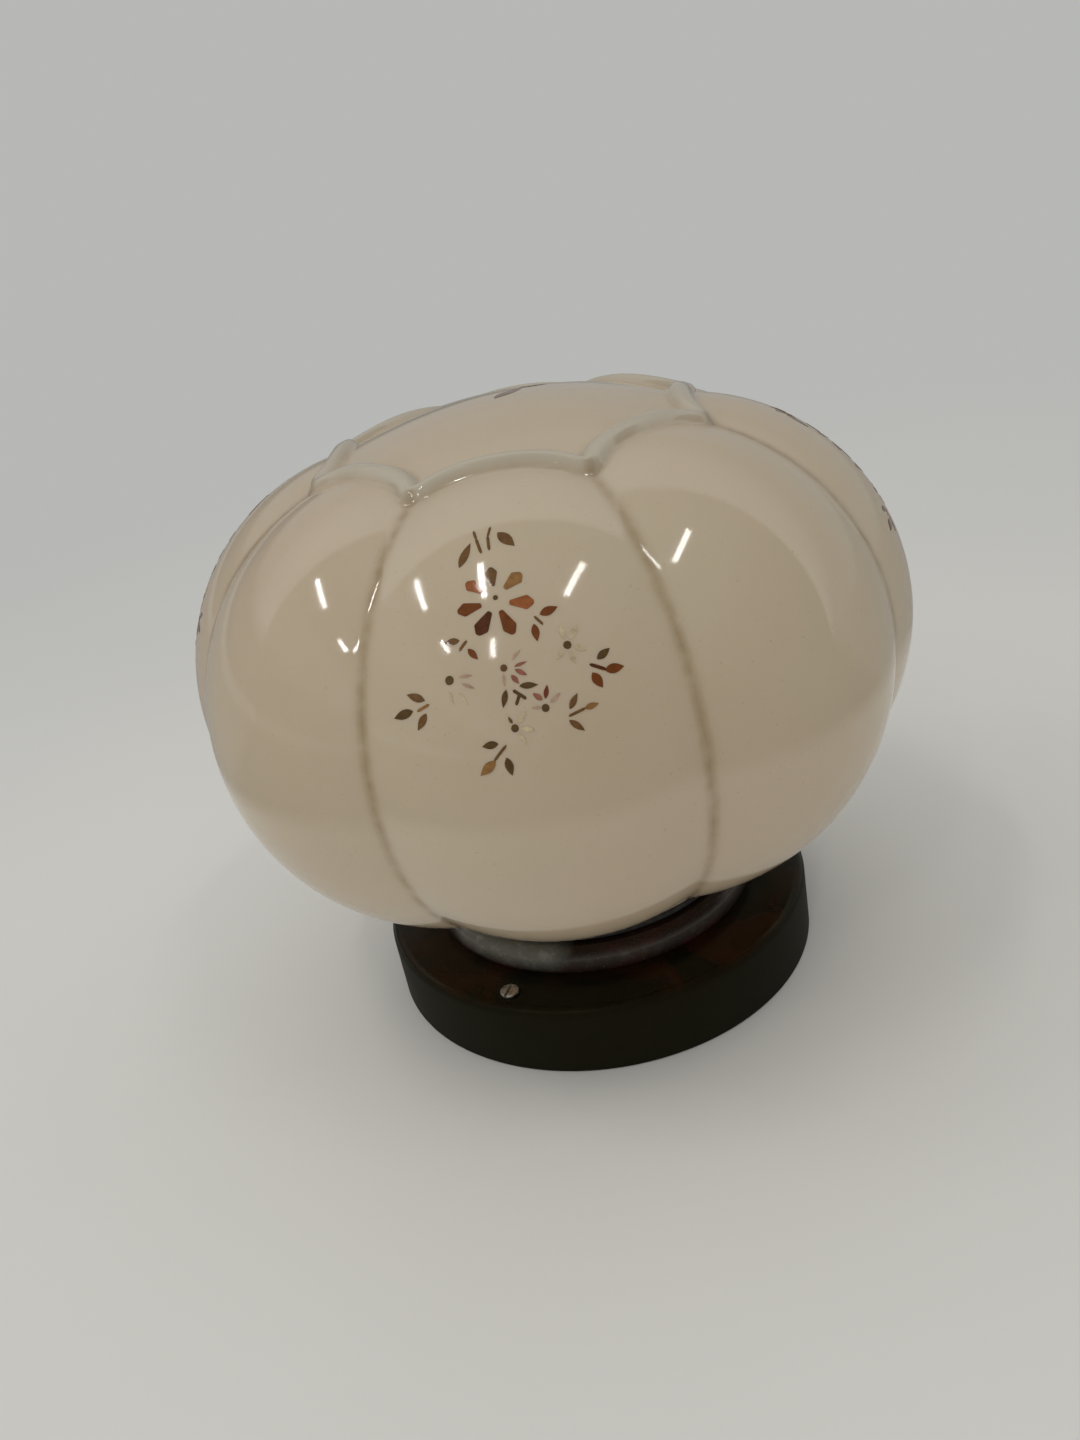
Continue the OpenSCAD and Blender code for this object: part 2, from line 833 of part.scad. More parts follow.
module filament_supports() {
  color([0.6, 0.6, 0.62])
    for (s = [-1, 1]) {
      post(lead_r, stem_top, filament_z, s * lead_gap);
      translate([s * lead_gap, 0, filament_z])
        sphere(r = lead_r);
      translate([s * lead_gap, 0, filament_z])
        rotate([0, s * 90, 0])
          cylinder(r = lead_r, h = arm_r - filament_r - 0.02 - lead_gap);
    }
}

base_body();
collar_ring();
collar_screws();
cover_screws();
mounting_strap();
holder_bridge();
nipple();
nipple_nut();
nipple_washer();
holder_cap();
holder_skirt();
holder_insert();
thread_shell();
centre_contact();
side_contact();
holder_screws();
terminal_block();
terminal_clamps();
terminal_screws();
block_screw();
live_wire();
neutral_wire();
shade_gasket();
glass_shade();
bulb_glass();
bulb_cap();
bulb_insulator();
bulb_tip();
bulb_stem();
filament();
filament_supports();
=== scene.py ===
"""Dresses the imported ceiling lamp: lobed opal glass with stencilled flowers on a dark moulded base."""

import logging
import math
from dataclasses import dataclass
from enum import Enum
from typing import Callable, Sequence

import bmesh
import bpy
import numpy as np
from mathutils import Matrix, Vector


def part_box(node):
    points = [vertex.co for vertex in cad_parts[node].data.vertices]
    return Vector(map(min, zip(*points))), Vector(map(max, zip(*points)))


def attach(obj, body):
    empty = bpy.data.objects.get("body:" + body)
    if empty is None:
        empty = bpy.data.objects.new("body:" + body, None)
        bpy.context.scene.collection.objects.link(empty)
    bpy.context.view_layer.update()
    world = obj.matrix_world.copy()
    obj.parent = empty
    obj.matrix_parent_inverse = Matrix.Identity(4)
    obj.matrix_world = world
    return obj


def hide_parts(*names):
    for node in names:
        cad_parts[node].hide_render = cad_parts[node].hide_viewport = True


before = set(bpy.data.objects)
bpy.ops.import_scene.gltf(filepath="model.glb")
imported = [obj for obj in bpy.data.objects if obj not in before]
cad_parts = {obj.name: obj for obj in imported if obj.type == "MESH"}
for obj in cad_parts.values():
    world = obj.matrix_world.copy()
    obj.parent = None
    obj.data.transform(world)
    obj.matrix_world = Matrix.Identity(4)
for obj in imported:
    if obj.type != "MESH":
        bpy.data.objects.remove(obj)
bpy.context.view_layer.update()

MM = 0.001
SEAM = 2e-6
FULL_TURN = 2 * math.pi
LOG = logging.getLogger("ceiling_lamp")
Item = bpy.types.Object
Material = bpy.types.Material
Socket = bpy.types.NodeSocket
Triple = tuple[float, float, float]
Colour = Triple
Tones = tuple[Colour, Colour]
Pair = tuple[float, float]
Field = Callable[[np.ndarray, np.ndarray, np.ndarray], np.ndarray]


class Body(Enum):
    """The moving groups of the lamp."""

    FITTING = "fitting"
    SEAL = "seal"
    SHADE = "shade"


class Ink(Enum):
    """Fired colours of the stencilled flowers, in linear light."""

    UMBER = (0.066, 0.021, 0.006)
    CHESTNUT = (0.124, 0.037, 0.0085)
    RUST = (0.232, 0.074, 0.022)
    TAN = (0.215, 0.108, 0.036)
    OLIVE = (0.076, 0.043, 0.014)
    SEPIA = (0.118, 0.060, 0.022)
    ROSE = (0.222, 0.086, 0.054)
    CRIMSON = (0.118, 0.027, 0.013)
    BLUSH = (0.340, 0.232, 0.160)
    CREAM = (0.402, 0.330, 0.212)


class Stroke(Enum):
    """The stencil's shapes."""

    KITE = 0
    LEAF = 1
    LINE = 2
    DOT = 3


class Graph:
    """A node tree under construction, for a material, a world or geometry."""

    def __init__(self, tree: bpy.types.NodeTree) -> None:
        """Starts from an empty tree.

        Args:
            tree: the tree to fill.
        """
        self.tree = tree
        tree.nodes.clear()

    def put(self, socket: Socket, value: object) -> None:
        """Sets or links an input.

        Args:
            socket: the input.
            value: a plain value, a socket, or a node for its first output; None leaves the input as it is.
        """
        if isinstance(value, bpy.types.Node):
            value = value.outputs[0]
        if isinstance(value, Socket):
            self.tree.links.new(value, socket)
        elif value is not None:
            socket.default_value = (*value, 1.0) if socket.type == "RGBA" else value

    def add(self, kind: str, *values: object, **settings: object) -> bpy.types.Node:
        """Adds a node.

        Args:
            kind: Blender's name of the node's type.
            values: its inputs in order.
            settings: its properties by name, and then inputs by name, with underscores for spaces.

        Returns:
            The new node.
        """
        node = self.tree.nodes.new(kind)
        for name, value in settings.items():
            if hasattr(node, name):
                setattr(node, name, value)
            else:
                self.put(node.inputs[name.replace("_", " ")], value)
        for socket, value in zip(node.inputs, values):
            self.put(socket, value)
        return node

    def math(self, operation: str, *values: object) -> Socket:
        """Works out a number from numbers or sockets."""
        return self.add("ShaderNodeMath", *values, operation=operation).outputs[0]

    def scale(self, vector: Socket, factor: Socket) -> Socket:
        """Scales a vector."""
        return self.add("ShaderNodeVectorMath", vector, operation="SCALE", Scale=factor).outputs[0]

    def split(self, vector: object) -> Sequence[Socket]:
        """Gives the three parts of a vector."""
        return self.add("ShaderNodeSeparateXYZ", vector).outputs

    def mix(self, factor: object, first: object, second: object) -> Socket:
        """Mixes two colours.

        Args:
            factor: number or socket, 0 for the first colour.
            first: colour or socket.
            second: colour or socket.

        Returns:
            The mixed colour.
        """
        node = self.add("ShaderNodeMix", factor, data_type="RGBA")
        for socket, value in zip(node.inputs[6:8], (first, second)):
            self.put(socket, value)
        return node.outputs[2]

    def spread(self, value: Socket, low: float, high: float, to_low: float = 0.0,
               to_high: float = 1.0) -> Socket:
        """Maps the range from low to high onto another, held at both ends."""
        return self.add("ShaderNodeMapRange", value, low, high, to_low, to_high).outputs[0]


class Surface(Graph):
    """A material's graph with its shader and the coordinates of its piece."""

    def __init__(self, name: str, **sockets: object) -> None:
        """Makes the material.

        Args:
            name: the material's name.
            sockets: values of the shader's own sockets, with underscores for spaces.
        """
        self.material = bpy.data.materials.new(name)
        self.material.use_nodes = True
        super().__init__(self.material.node_tree)
        self.shader = self.add("ShaderNodeBsdfPrincipled", **sockets)
        self.output = self.add("ShaderNodeOutputMaterial", self.shader)
        self.place = self.add("ShaderNodeTexCoord").outputs["Object"]

    def noise(self, scale: float, detail: float = 3.0, roughness: float = 0.5, stretch: Triple | None = None,
              distortion: float = 0.0) -> Socket:
        """Adds noise over the piece.

        Args:
            scale: features a metre.
            detail: octaves.
            roughness: weight of the fine octaves.
            stretch: factors of the three axes.
            distortion: how far the pattern swirls.

        Returns:
            The noise's value, mostly between 0.3 and 0.7.
        """
        where = self.add("ShaderNodeMapping", self.place, Scale=stretch) if stretch else self.place
        node = self.add("ShaderNodeTexNoise", where, Scale=scale, Detail=detail, Roughness=roughness,
                        Distortion=distortion)
        return node.outputs["Fac"]

    def mark(self, name: str, output: str = "Fac") -> Socket:
        """Reads one of the mesh's attributes."""
        return self.add("ShaderNodeAttribute", attribute_name=name).outputs[output]

    def finish(self, colour: object, rough: Socket, relief: Socket, strength: float,
               depth: float) -> Material:
        """Gives the surface its colour, roughness and relief.

        Args:
            colour: its colour or the socket that gives it.
            rough: its roughness.
            relief: height of the relief.
            strength: weight of the relief.
            depth: metres that a height of 1 stands for.

        Returns:
            The finished material.
        """
        bump = self.add("ShaderNodeBump", Strength=strength, Distance=depth, Height=relief)
        for name, value in (("Base Color", colour), ("Roughness", rough), ("Normal", bump)):
            self.put(self.shader.inputs[name], value)
        return self.material


@dataclass(frozen=True)
class OpalGlass:
    """Glossy cream opal glass, pinker in clouds, greyed along its bead by painted reflection, and darkened in
    its creases by dirt and painted shade.
    """

    cream: Colour = (0.462, 0.388, 0.280)
    blush: Colour = (0.446, 0.356, 0.255)
    # thick is a painted reflection: the greyer tone of the bead where it mirrors the room.
    thick: Colour = (0.405, 0.362, 0.284)
    # Colour of the dirt specks, and of the dirt and painted shade in the creases.
    dirt_and_shade: Colour = (0.235, 0.160, 0.074)
    gloss: Pair = (0.045, 0.11)

    def material(self) -> Material:
        """Builds the material.

        Returns:
            The glass.
        """
        s = Surface("opal_glass", IOR=1.6, Subsurface_Weight=0.25, Subsurface_Scale=0.006,
                    Subsurface_Radius=(1.0, 0.7, 0.45))
        body = s.mix(s.spread(s.noise(9.0, 2.0), 0.35, 0.7), self.cream, self.blush)
        # Painted reflection: the bead is tinted greyer.
        body = s.mix(s.mark("bead"), body, self.thick)
        # Dirt and painted shade in patches along the creases and the bead's foot.
        patchy = s.math("MULTIPLY", s.mark("crease"), s.spread(s.noise(160.0, 4.0), 0.3, 0.65, 0.45, 1.0))
        body = s.mix(s.math("MULTIPLY", patchy, 0.8), body, self.dirt_and_shade)
        speck = s.spread(s.noise(900.0, 1.0), 0.735, 0.77)
        body = s.mix(s.math("MULTIPLY", speck, 0.25), body, self.dirt_and_shade)
        rough = s.spread(s.noise(45.0, 4.0, 0.6), 0.3, 0.75, *self.gloss)
        wave = s.math("ADD", s.noise(14.0, 1.0), s.math("MULTIPLY", s.noise(70.0, 1.0), 0.06))
        return s.finish(body, rough, wave,
                        strength=0.35, depth=0.0012)


@dataclass(frozen=True)
class Enamel:
    """Thin fired colour of the stencilled flowers, uneven as a sponged stencil is."""

    uneven: Pair = (0.78, 1.3)
    gloss: Pair = (0.05, 0.12)

    def material(self) -> Material:
        """Builds the material.

        Returns:
            The enamel, in each stroke's own ink.
        """
        s = Surface("stencil_enamel", IOR=1.5)
        patch = s.spread(s.noise(520.0, 4.0, 0.65), 0.3, 0.72, *self.uneven)
        rough = s.spread(s.noise(800.0, 2.0), 0.3, 0.7, *self.gloss)
        return s.finish(s.scale(s.mark("tint", "Color"), patch), rough, s.noise(1400.0, 2.0),
                        strength=0.12, depth=0.00005)


@dataclass(frozen=True)
class Moulding:
    """Polished thermoset moulding: near black with brown flow marks reddened as painted reflection of the
    glass, fine scratches, and an edge mark that is rim wear on the base and dust with a painted sheen on the
    collar.

    A satin roughness makes the wall dull and plain below the polished top, whose heights are in metres.
    """

    name: str
    dark: Colour = (0.0052, 0.0044, 0.0018)
    # Reddish brown of the flow marks, which also stands in for painted reflection of the glass.
    flow_and_reflection: Colour = (0.0215, 0.0067, 0.0026)
    # Colour of the edge mark: rim wear on the base, dust with painted sheen on the collar.
    worn_and_sheen: Colour = (0.020, 0.0185, 0.010)
    gloss: Pair = (0.12, 0.26)
    scratches: float = 0.25
    shine: float = 0.135
    tint: Colour = (1.0, 0.95, 0.50)
    patchy: float = 0.25
    satin: float = 0.0
    polished: Pair = (0.0262, 0.02855)

    def material(self) -> Material:
        """Builds the material.

        Returns:
            The moulding.
        """
        s = Surface(f"{self.name}_finish", IOR=1.5, Specular_IOR_Level=self.shine, Specular_Tint=self.tint)
        swirl = s.spread(s.noise(26.0, 5.0, 0.6, (1.0, 1.0, 2.2), 1.4), 0.44, 0.64)
        rough = s.spread(s.noise(60.0, 5.0, 0.65), 0.3, 0.72, *self.gloss)
        if self.satin:
            top = s.spread(s.split(s.place)["Z"], *self.polished)
            swirl = s.math("MULTIPLY", swirl, top)
            rough = s.math("MAXIMUM", rough, s.spread(top, 0.0, 1.0, self.satin, 0.0))
        # Brown flow marks, also a painted reflection of the glass; on the satin base they lie only on the
        # polished top.
        body = s.mix(swirl, self.dark, self.flow_and_reflection)
        # The edge mark in patches: rim wear on the base, dust and painted sheen on the collar.
        rub_and_sheen = s.spread(s.spread(s.noise(210.0, 5.0, 0.7), 0.5, 0.72), 0.0, 1.0, self.patchy, 1.0)
        body = s.mix(s.math("MULTIPLY", s.mark("edge"), rub_and_sheen), body, self.worn_and_sheen)
        dust = s.spread(s.noise(1500.0, 2.0), 0.66, 0.74)
        body = s.mix(s.math("MULTIPLY", dust, 0.3), body, self.worn_and_sheen)
        return s.finish(body, rough, s.noise(380.0, 3.0, 0.6, (1.0, 1.0, 7.0)),
                        strength=self.scratches, depth=0.00012)


@dataclass(frozen=True)
class Metal:
    """Plated or plain metal with turning marks and tarnish."""

    name: str
    bright: Colour
    tarnish: Colour
    gloss: Pair = (0.18, 0.42)
    grain: Triple = (1.0, 1.0, 12.0)

    def material(self) -> Material:
        """Builds the material.

        Returns:
            The metal.
        """
        s = Surface(f"{self.name}_metal", Metallic=1.0)
        body = s.mix(s.spread(s.noise(180.0, 5.0, 0.65), 0.42, 0.72), self.bright, self.tarnish)
        rough = s.spread(s.noise(420.0, 3.0), 0.3, 0.7, *self.gloss)
        return s.finish(body, rough, s.noise(700.0, 2.0, 0.5, self.grain),
                        strength=0.2, depth=0.0001)


@dataclass(frozen=True)
class Ceramic:
    """Glazed electrical porcelain with fine specks."""

    glaze: Colour = (0.74, 0.70, 0.61)
    speck: Colour = (0.34, 0.27, 0.19)
    gloss: Pair = (0.12, 0.3)

    def material(self) -> Material:
        """Builds the material.

        Returns:
            The porcelain.
        """
        s = Surface("porcelain", IOR=1.5)
        dots = s.spread(s.noise(1300.0, 2.0), 0.68, 0.74)
        warm = s.mix(s.spread(s.noise(90.0, 3.0), 0.35, 0.7, 0.0, 0.25), self.glaze, self.speck)
        body = s.mix(s.math("MULTIPLY", dots, 0.5), warm, self.speck)
        rough = s.spread(s.noise(240.0, 3.0), 0.3, 0.7, *self.gloss)
        return s.finish(body, rough, s.noise(330.0, 2.0),
                        strength=0.2, depth=0.0002)


@dataclass(frozen=True)
class Soft:
    """Dull rubber, the sleeve of a wire, or the bulb's black insulator."""

    name: str
    tone: Colour
    faded: Colour
    dull: Pair = (0.55, 0.8)

    def material(self) -> Material:
        """Builds the material.

        Returns:
            The rubber or sleeve.
        """
        s = Surface(f"{self.name}_sleeve")
        body = s.mix(s.spread(s.noise(260.0, 4.0), 0.4, 0.7), self.tone, self.faded)
        rough = s.spread(s.noise(600.0, 2.0), 0.3, 0.7, *self.dull)
        return s.finish(body, rough, s.noise(1800.0, 2.0),
                        strength=0.25, depth=0.0001)


@dataclass(frozen=True)
class ClearGlass:
    """Clear bulb glass, faintly uneven."""

    tint: Colour = (0.96, 0.97, 0.96)
    gloss: Pair = (0.01, 0.05)

    def material(self) -> Material:
        """Builds the material.

        Returns:
            The clear glass.
        """
        s = Surface("bulb_clear_glass", IOR=1.5, Transmission_Weight=0.95)
        rough = s.spread(s.noise(120.0, 3.0), 0.3, 0.7, *self.gloss)
        return s.finish(self.tint, rough, s.noise(60.0, 1.0),
                        strength=0.1, depth=0.0004)


def show(data: bpy.types.Mesh, sharp: float) -> Item:
    """Puts a mesh in the scene, smooth but for its crisp edges.

    Args:
        data: the mesh.
        sharp: angle in degrees past which an edge stays crisp.

    Returns:
        The new object, named as its mesh.
    """
    data.shade_smooth()
    data.set_sharp_from_angle(angle=math.radians(sharp))
    item = bpy.data.objects.new(data.name, data)
    bpy.context.scene.collection.objects.link(item)
    return item


def settle(item: Item, body: Body, finish: Material, replaced: Sequence[str] = ()) -> None:
    """Gives a finished piece its material, its body and the CAD nodes that it stands for.

    Args:
        item: the piece.
        body: the body that it moves with.
        finish: its material.
        replaced: names of the CAD nodes.
    """
    item.data.materials.clear()
    item.data.materials.append(finish)
    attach(item, body.value)
    if replaced:
        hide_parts(*replaced)
    LOG.info("%s: %d faces on %s", item.name, len(item.data.polygons), body.value)


class Piece:
    """A mesh in the making, in millimetres."""

    def __init__(self, name: str) -> None:
        """Starts an empty piece.

        Args:
            name: the object's name.
        """
        self.name = name
        self.points: list[Triple] = []
        self.faces: list[tuple[int, ...]] = []
        self.marks: dict[str, list[float]] = {}

    def grid(self, points: np.ndarray, closed_rows: bool = False, closed_columns: bool = False,
             **marks: np.ndarray) -> "Piece":
        """Adds a net of four-sided faces.

        Args:
            points: rows by columns by three, in millimetres.
            closed_rows: whether the last row joins the first.
            closed_columns: whether the last column joins the first.
            marks: values for each point, kept as mesh attributes.

        Returns:
            The piece itself.
        """
        rows, columns = points.shape[:2]
        start = len(self.points)
        self.points.extend(map(tuple, points.reshape(-1, 3)))
        for key in {**self.marks, **marks}:
            kept = self.marks.setdefault(key, [0.0] * start)
            kept.extend(marks[key].reshape(-1).tolist() if key in marks else [0.0] * (rows * columns))
        for i in range(rows if closed_rows else rows - 1):
            here, there = start + i * columns, start + (i + 1) % rows * columns
            for j in range(columns if closed_columns else columns - 1):
                k = (j + 1) % columns
                self.faces.append((here + j, here + k, there + k, there + j))
        return self

    def item(self, weld: float = 1e-4, sharp: float = 40.0) -> Item:
        """Makes the object, in metres, and puts it in the scene.

        Args:
            weld: distance in millimetres within which points become one.
            sharp: angle in degrees past which an edge stays crisp.

        Returns:
            The object.
        """
        data = bpy.data.meshes.new(self.name)
        data.from_pydata([Vector(p) * MM for p in self.points], [], self.faces)
        for key, values in self.marks.items():
            data.attributes.new(key, "FLOAT", "POINT").data.foreach_set("value", values)
        work = bmesh.new()
        work.from_mesh(data)
        bmesh.ops.remove_doubles(work, verts=work.verts, dist=weld * MM)
        bmesh.ops.dissolve_degenerate(work, edges=work.edges, dist=1e-8)
        work.to_mesh(data)
        work.free()
        return show(data, sharp)


class ShapeTree(Graph):
    """A geometry tree with named inputs."""

    def __init__(self, name: str, **inputs: str) -> None:
        """Makes the tree with its inputs and its output.

        Args:
            name: the tree's name.
            inputs: the type of each input by its name.
        """
        super().__init__(bpy.data.node_groups.new(name, "GeometryNodeTree"))
        sides = self.tree.interface
        self.keys: dict[str, str] = {}
        for label, kind in inputs.items():
            socket = sides.new_socket(label, in_out="INPUT", socket_type=f"NodeSocket{kind}")
            self.keys[label] = socket.identifier
        sides.new_socket("Geometry", in_out="OUTPUT", socket_type="NodeSocketGeometry")
        self.entry = self.add("NodeGroupInput").outputs

    def named(self, label: str, kind: str) -> Socket:
        """Reads an attribute of the geometry."""
        return self.add("GeometryNodeInputNamedAttribute", data_type=kind, Name=label).outputs["Attribute"]

    def item(self, source: Item) -> Socket:
        """Gives an object's shape."""
        return self.add("GeometryNodeObjectInfo", Object=source).outputs["Geometry"]

    def bake(self, name: str, sharp: float, start: bpy.types.Mesh | None = None, **values: object) -> Item:
        """Runs the tree once and keeps its result as a plain mesh.

        Args:
            name: the new object's name.
            sharp: angle in degrees past which an edge stays crisp.
            start: mesh that enters the tree.
            values: its inputs by name.

        Returns:
            The new object, without modifiers.
        """
        carrier = bpy.data.objects.new(f"{name}_carrier", start or bpy.data.meshes.new(f"{name}_start"))
        bpy.context.scene.collection.objects.link(carrier)
        modifier = carrier.modifiers.new("shape", "NODES")
        modifier.node_group = self.tree
        for label, value in values.items():
            modifier[self.keys[label]] = value
        graph = bpy.context.evaluated_depsgraph_get()
        data = bpy.data.meshes.new_from_object(carrier.evaluated_get(graph), preserve_all_data_layers=True,
                                               depsgraph=graph)
        data.name = name
        bpy.data.objects.remove(carrier)
        bpy.data.node_groups.remove(self.tree)
        return show(data, sharp)


def ring(name: str, parts: Sequence[Item], copies: int, first: float, finish: Material, sharp: float) -> Item:
    """Sets copies of a piece round the axis and welds them together.

    Args:
        name: the new object's name.
        parts: the repeated piece and, if there is one, the piece in the middle; both are used up.
        copies: how many there are.
        first: angle of the first in degrees.
        finish: the material of the whole.
        sharp: angle in degrees past which an edge stays crisp.

    Returns:
        The whole ring as one mesh.
    """
    g = ShapeTree(f"{name}_ring", Copies="Int", First="Float")
    step = g.math("DIVIDE", FULL_TURN, g.entry["Copies"])
    index = g.add("GeometryNodeInputIndex").outputs[0]
    turn = g.math("ADD", g.math("MULTIPLY", index, step), g.entry["First"])
    place = g.add("GeometryNodeInstanceOnPoints", g.add("GeometryNodePoints", g.entry["Copies"]),
                  Instance=g.item(parts[0]), Rotation=g.add("ShaderNodeCombineXYZ", Z=turn))
    join = g.add("GeometryNodeJoinGeometry", place)
    for middle in parts[1:]:
        g.put(join.inputs[0], g.item(middle))
    weld = g.add("GeometryNodeMergeByDistance", g.add("GeometryNodeRealizeInstances", join), Distance=SEAM)
    g.add("NodeGroupOutput", g.add("GeometryNodeSetMaterial", weld, Material=finish))
    whole = g.bake(name, sharp, Copies=copies, First=math.radians(first))
    for part in parts:
        bpy.data.objects.remove(part)
    return whole


def around(r: np.ndarray, angle: np.ndarray, z: np.ndarray) -> np.ndarray:
    """Gives points from radius, angle and height."""
    return np.stack(np.broadcast_arrays(r * np.cos(angle), r * np.sin(angle), z), -1)


def ramp(value: np.ndarray, start: float, end: float) -> np.ndarray:
    """Rises in a straight line from 0 at the start to 1 at the end, and is held at both."""
    return np.clip((value - start) / (end - start), 0, 1)


def crossing(test: Callable[[np.ndarray], np.ndarray], low: float, high: float, count: int) -> np.ndarray:
    """Finds by halving the angle past which a test holds.

    Args:
        test: what is tried, for every column at once.
        low: angle in degrees at which it fails.
        high: angle in degrees at which it holds.
        count: number of columns.

    Returns:
        The angle of each column in radians.
    """
    below, above = np.full(count, math.radians(low)), np.full(count, math.radians(high))
    for _ in range(40):
        middle = (below + above) / 2
        holds = test(middle)
        above, below = np.where(holds, middle, above), np.where(holds, below, middle)
    return (below + above) / 2


def rounded(corners: Sequence[Triple], steps: int) -> list[Pair]:
    """Rounds the corners of a closed outline.

    Args:
        corners: radius, height and corner radius of each corner, in order.
        steps: faces of a rounded corner.

    Returns:
        The outline's points.
    """
    out: list[Pair] = []
    for i, (x, y, r) in enumerate(corners):
        here = np.array([x, y])
        before = np.array(corners[i - 1][:2]) - here
        after = np.array(corners[(i + 1) % len(corners)][:2]) - here
        before_length, after_length = np.linalg.norm(before), np.linalg.norm(after)
        before, after = before / before_length, after / after_length
        half = math.acos(float(np.clip(before @ after, -1, 1))) / 2
        if r <= 0:
            out.append((x, y))
            continue
        back = min(r / math.tan(half), 0.49 * before_length, 0.49 * after_length)
        r = back * math.tan(half)
        first, last = here + before * back, here + after * back
        middle = here + (before + after) / np.linalg.norm(before + after) * (r / math.sin(half))
        start = math.atan2(*(first - middle)[::-1])
        turn = (math.atan2(*(last - middle)[::-1]) - start + math.pi) % FULL_TURN - math.pi
        for angle in start + turn * np.arange(steps + 1) / steps:
            out.append(tuple(middle + r * np.array([math.cos(angle), math.sin(angle)])))
    return out


def lathe(name: str, profile: Sequence[Pair], segments: int, wear_and_sheen: Field | None = None,
          swell: Field | None = None) -> Piece:
    """Turns a closed profile about the lamp's axis.

    Args:
        name: the piece's name.
        profile: radius and height of each point, anticlockwise as seen with the axis on the left.
        segments: faces round the axis.
        wear_and_sheen: wear, dust and painted sheen from angle, radius and height, kept as the edge
            attribute.
        swell: added radius from angle, radius and height.

    Returns:
        The piece.
    """
    angle = np.linspace(0, FULL_TURN, segments, endpoint=False)
    r, z = (column[:, None] + 0 * angle for column in np.array(profile).T)
    if swell:
        r = r + swell(angle, r, z)
    marks = {"edge": wear_and_sheen(angle, r, z)} if wear_and_sheen else {}
    return Piece(name).grid(around(r, angle, z), closed_rows=True, closed_columns=True, **marks)


@dataclass(frozen=True)
class Thread:
    """A right-handed thread ridge over a cylinder: where it starts, its length in turns and its section."""

    start: float
    turns: float
    height: float
    foot: float
    crest: float
    pitch: float = 6.0

    def rise(self, angle: np.ndarray, z: np.ndarray) -> np.ndarray:
        """Works out the ridge's height.

        Args:
            angle: angle round the axis, from 0 to a full turn.
            z: height on the axis.

        Returns:
            The ridge's height at each point.
        """
        climb = (z - self.start) / self.pitch - angle / FULL_TURN
        turn = np.round(climb)
        along = turn + angle / FULL_TURN
        flank = ramp(np.abs(climb - turn) * self.pitch, self.foot / 2, self.crest / 2)
        slack, fade = 0.02, 1 / 12
        end = self.turns + slack
        ends = ramp(along, -slack, fade - slack) * ramp(along, end, end - fade)
        return self.height * flank * flank * (3 - 2 * flank) * ends


